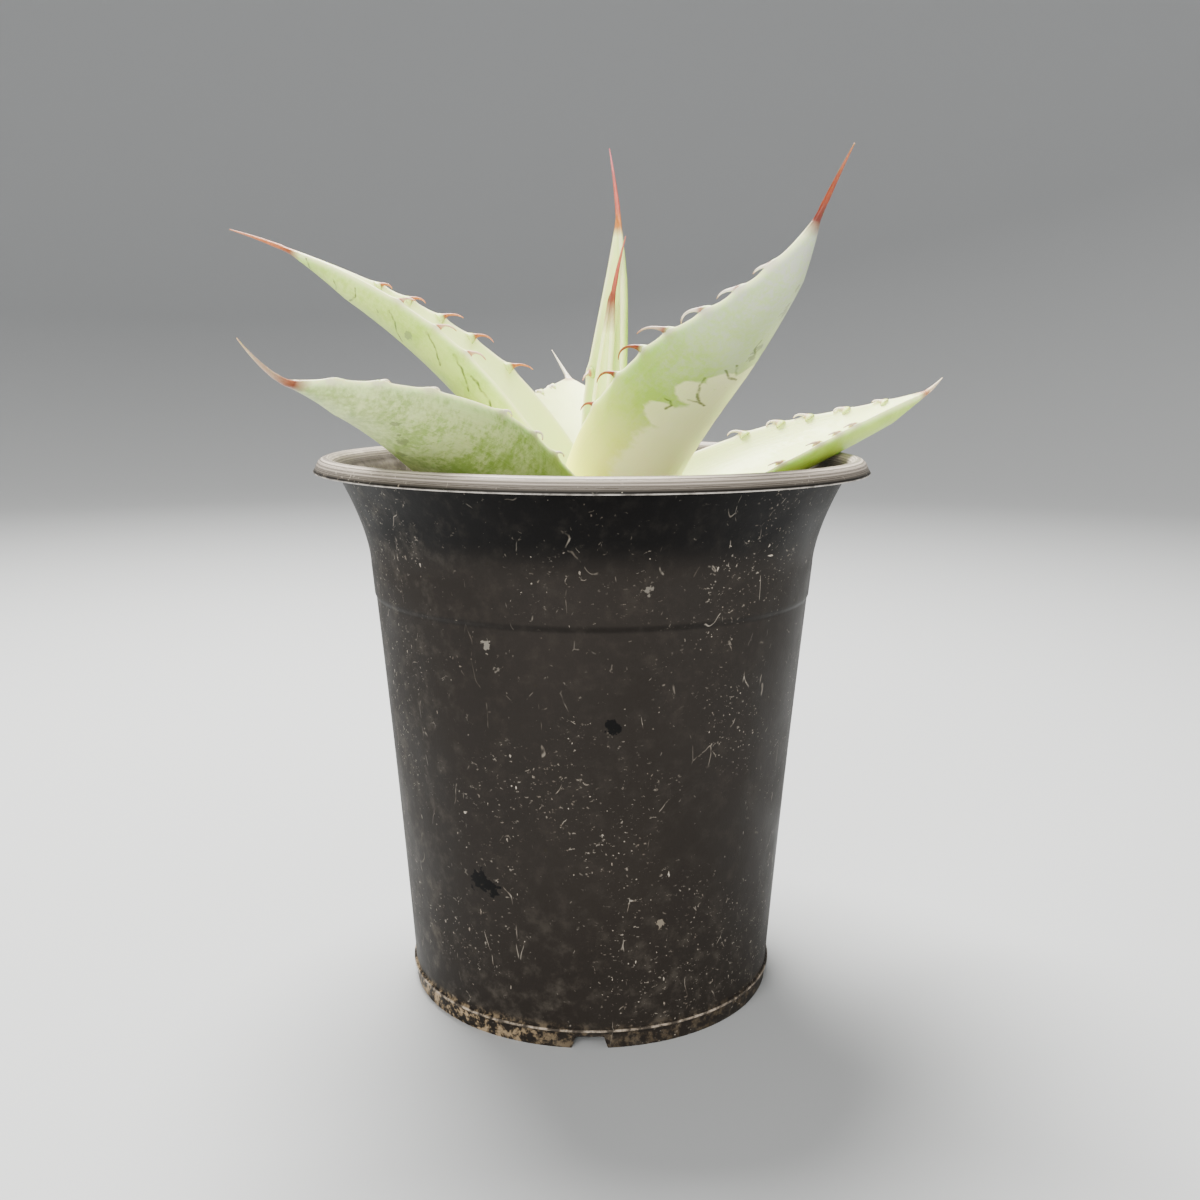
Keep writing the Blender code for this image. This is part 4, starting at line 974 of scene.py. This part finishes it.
def pressed_skin(t, leaf, looks, colour, relief):
    """Lays the creases, smudges and pale pads of one leaf over its colour and its relief. They
    lie on the blade unrolled: side times half width by share times length, in metres."""
    sideways = times(t, carried(t, "side"), leaf["half"])
    lengthways = times(t, carried(t, "share"), leaf["length"])
    unrolled = node(t, "CombineXYZ", {0: sideways, 1: lengthways}).outputs[0]
    bent = shaken(t, unrolled, 420.0, 0.0011)
    lower = times(t, *(calc(t, "SUBTRACT", 1.0, carried(t, name)) for name in ("upper", "horn")))

    def on_blade(share, side):
        return (side * leaf["half"], share * leaf["length"], 0.0)

    def spots(kind, ragged):
        masks = [placed(t, blot_group, Vector=bent, Centre=on_blade(share, side), Radius=radius,
                        Ragged=ragged)[0] for share, side, radius in looks[kind]]
        return times(t, largest(t, *masks), lower)

    if "pale_pads" in looks:
        colour = tint(t, times(t, spots("pale_pads", 0.25), 0.62), colour, (0.86, 0.84, 0.46))
    if "smudges" in looks:
        colour = tint(t, times(t, spots("smudges", 3.0), 0.60), colour, (0.13, 0.16, 0.07))
    if "creases" in looks:
        lines = [placed(t, crease_group, Flat_Place=bent, Start=on_blade(*start), End=on_blade(*end),
                        Width=CREASE_WIDTH)[0]
                 for line in looks["creases"] for start, end in zip(line, line[1:])]
        broken = ease(t, fractal(t, object_place(t), 500.0, 3.0, 0.6), 0.35, 0.60, 0.35, 1.0)
        pressed = times(t, largest(t, *lines), lower, broken)
        colour = tint(t, times(t, pressed, 0.85), colour, (0.07, 0.11, 0.015))
        relief = calc(t, "MULTIPLY_ADD", pressed, -0.8, relief)
    return colour, relief


for name, leaf in LEAVES.items():
    looks = LEAF_LOOKS[name]
    shares = np.concatenate([np.linspace(-ROOT_REACH, -0.01, 10), np.linspace(0, 1, BLADE_STATIONS)])
    side = np.sin(np.linspace(-np.pi / 2, np.pi / 2, ACROSS))[None]
    points, ways, across, up = blade_frame(leaf, shares)
    (top_s, top_u), (low_s, low_u) = leaf_section(leaf, shares, side)
    ring_s = np.concatenate([top_s, low_s[:, -2:0:-1]], 1)
    ring_u = np.concatenate([top_u, low_u[:, -2:0:-1]], 1)
    blade = points[:, None] + across[:, None] * ring_s[..., None] + up[:, None] * ring_u[..., None]
    spine, spine_share = spine_rings(leaf, blade[-1])
    rings = np.concatenate([blade, spine])
    around = rings.shape[1]
    side_row = np.concatenate([side[0], side[0, -2:0:-1]])
    upper_row = np.concatenate([np.ones(ACROSS), np.zeros(ACROSS - 2)])
    upper_row[[0, ACROSS - 1]] = 0.5
    blade_rows, spine_rows = len(blade), len(spine)
    size = spine_rows * around
    rim_distance = half_width(leaf, shares)[:, None] * (1 - np.abs(side_row))
    horn_starts = looks.get("horn_from", HORN_FROM)
    horn_rows = np.clip((shares - horn_starts) / (1 - horn_starts), 0, 1) ** 0.7
    blade_values = [np.repeat(shares, around), np.tile(side_row, blade_rows),
                    np.tile(upper_row, blade_rows), np.repeat(horn_rows, around),
                    np.zeros(blade_rows * around),
                    np.exp(-((rim_distance / 0.0006) ** 2)).ravel(), np.zeros(blade_rows * around)]
    spine_values = [np.ones(size), np.tile(side_row, spine_rows), np.tile(upper_row, spine_rows),
                    np.ones(size), np.repeat(spine_share, around), np.zeros(size),
                    np.full(size, looks.get("bleached", 0.0))]
    vertices = [rings.reshape(-1, 3)]
    faces = grid_faces(len(rings), around, True)[:, ::-1].tolist()
    faces += [list(range(around)), list(range((len(rings) - 1) * around, len(rings) * around))[::-1]]
    values = [blade_values, spine_values]
    start = len(vertices[0])
    for sign, teeth in ((-1, leaf["right_teeth"]), (1, leaf["left_teeth"])):
        for at in teeth:
            tooth, steps = tooth_rings(leaf, at, sign)
            sides = tooth.shape[1]
            tooth_faces = grid_faces(len(tooth), sides, True)
            caps = [list(range(sides))[::-1], list(range((len(tooth) - 1) * sides, len(tooth) * sides))]
            if sign < 0:
                tooth_faces = tooth_faces[:, ::-1]
                caps = [cap[::-1] for cap in caps]
            faces += (tooth_faces + start).tolist() + [[corner + start for corner in cap] for cap in caps]
            vertices.append(tooth.reshape(-1, 3))
            size = tooth.size // 3
            horny = np.repeat(steps, sides) - HORN_ROOT
            values.append([np.full(size, at), np.full(size, float(sign)), np.full(size, 0.5),
                           np.clip(horny / 0.10, 0, 1), np.clip(horny, 0, 1) / (1 - HORN_ROOT),
                           np.zeros(size), np.full(size, looks["pale_teeth"](at, sign))])
            start += size
    finish, t, shader = plain_finish(name + "_skin", looks["green"], 0.5)
    wax = looks.get("wax", (0.62, 0.73, 0.24))
    # The fourth colour is the painted light of the upper faces.
    chosen = zip(("Green", "Root_Colour", "Bloom_Colour", "Upper_Colour",
                  "Horn_Foot", "Horn", "Horn_Tip"),
                 (looks["green"], looks["root"], wax, (0.84, 0.91, 0.42), *looks["horn"]))
    skin = placed(t, skin_group, Bloom=looks["bloom"], Root_Length=0.46, Tip_Bloom=looks["tip_bloom"],
                  **{socket: (*colour, 1) for socket, colour in chosen})
    colour, relief = pressed_skin(t, leaf, looks, skin["Colour"], skin["Height"])
    dress(t, shader, colour, relief, 0.22, 0.0004, skin["Roughness"])
    shader.inputs["Specular IOR Level"].default_value = 0.32
    soft = calc(t, "MULTIPLY_ADD", carried(t, "horn"), -0.25, 0.30)
    t.links.new(soft, shader.inputs["Subsurface Weight"])
    shader.inputs["Subsurface Radius"].default_value = (0.6, 1.0, 0.25)
    shader.inputs["Subsurface Scale"].default_value = 0.003
    piece = mesh_piece(name + "_grown", np.concatenate(vertices), faces, finish)
    for attribute, column in zip(CARRIED, zip(*values)):
        hold(piece, attribute, np.concatenate(column))
    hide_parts(name)
    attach(piece, "root")
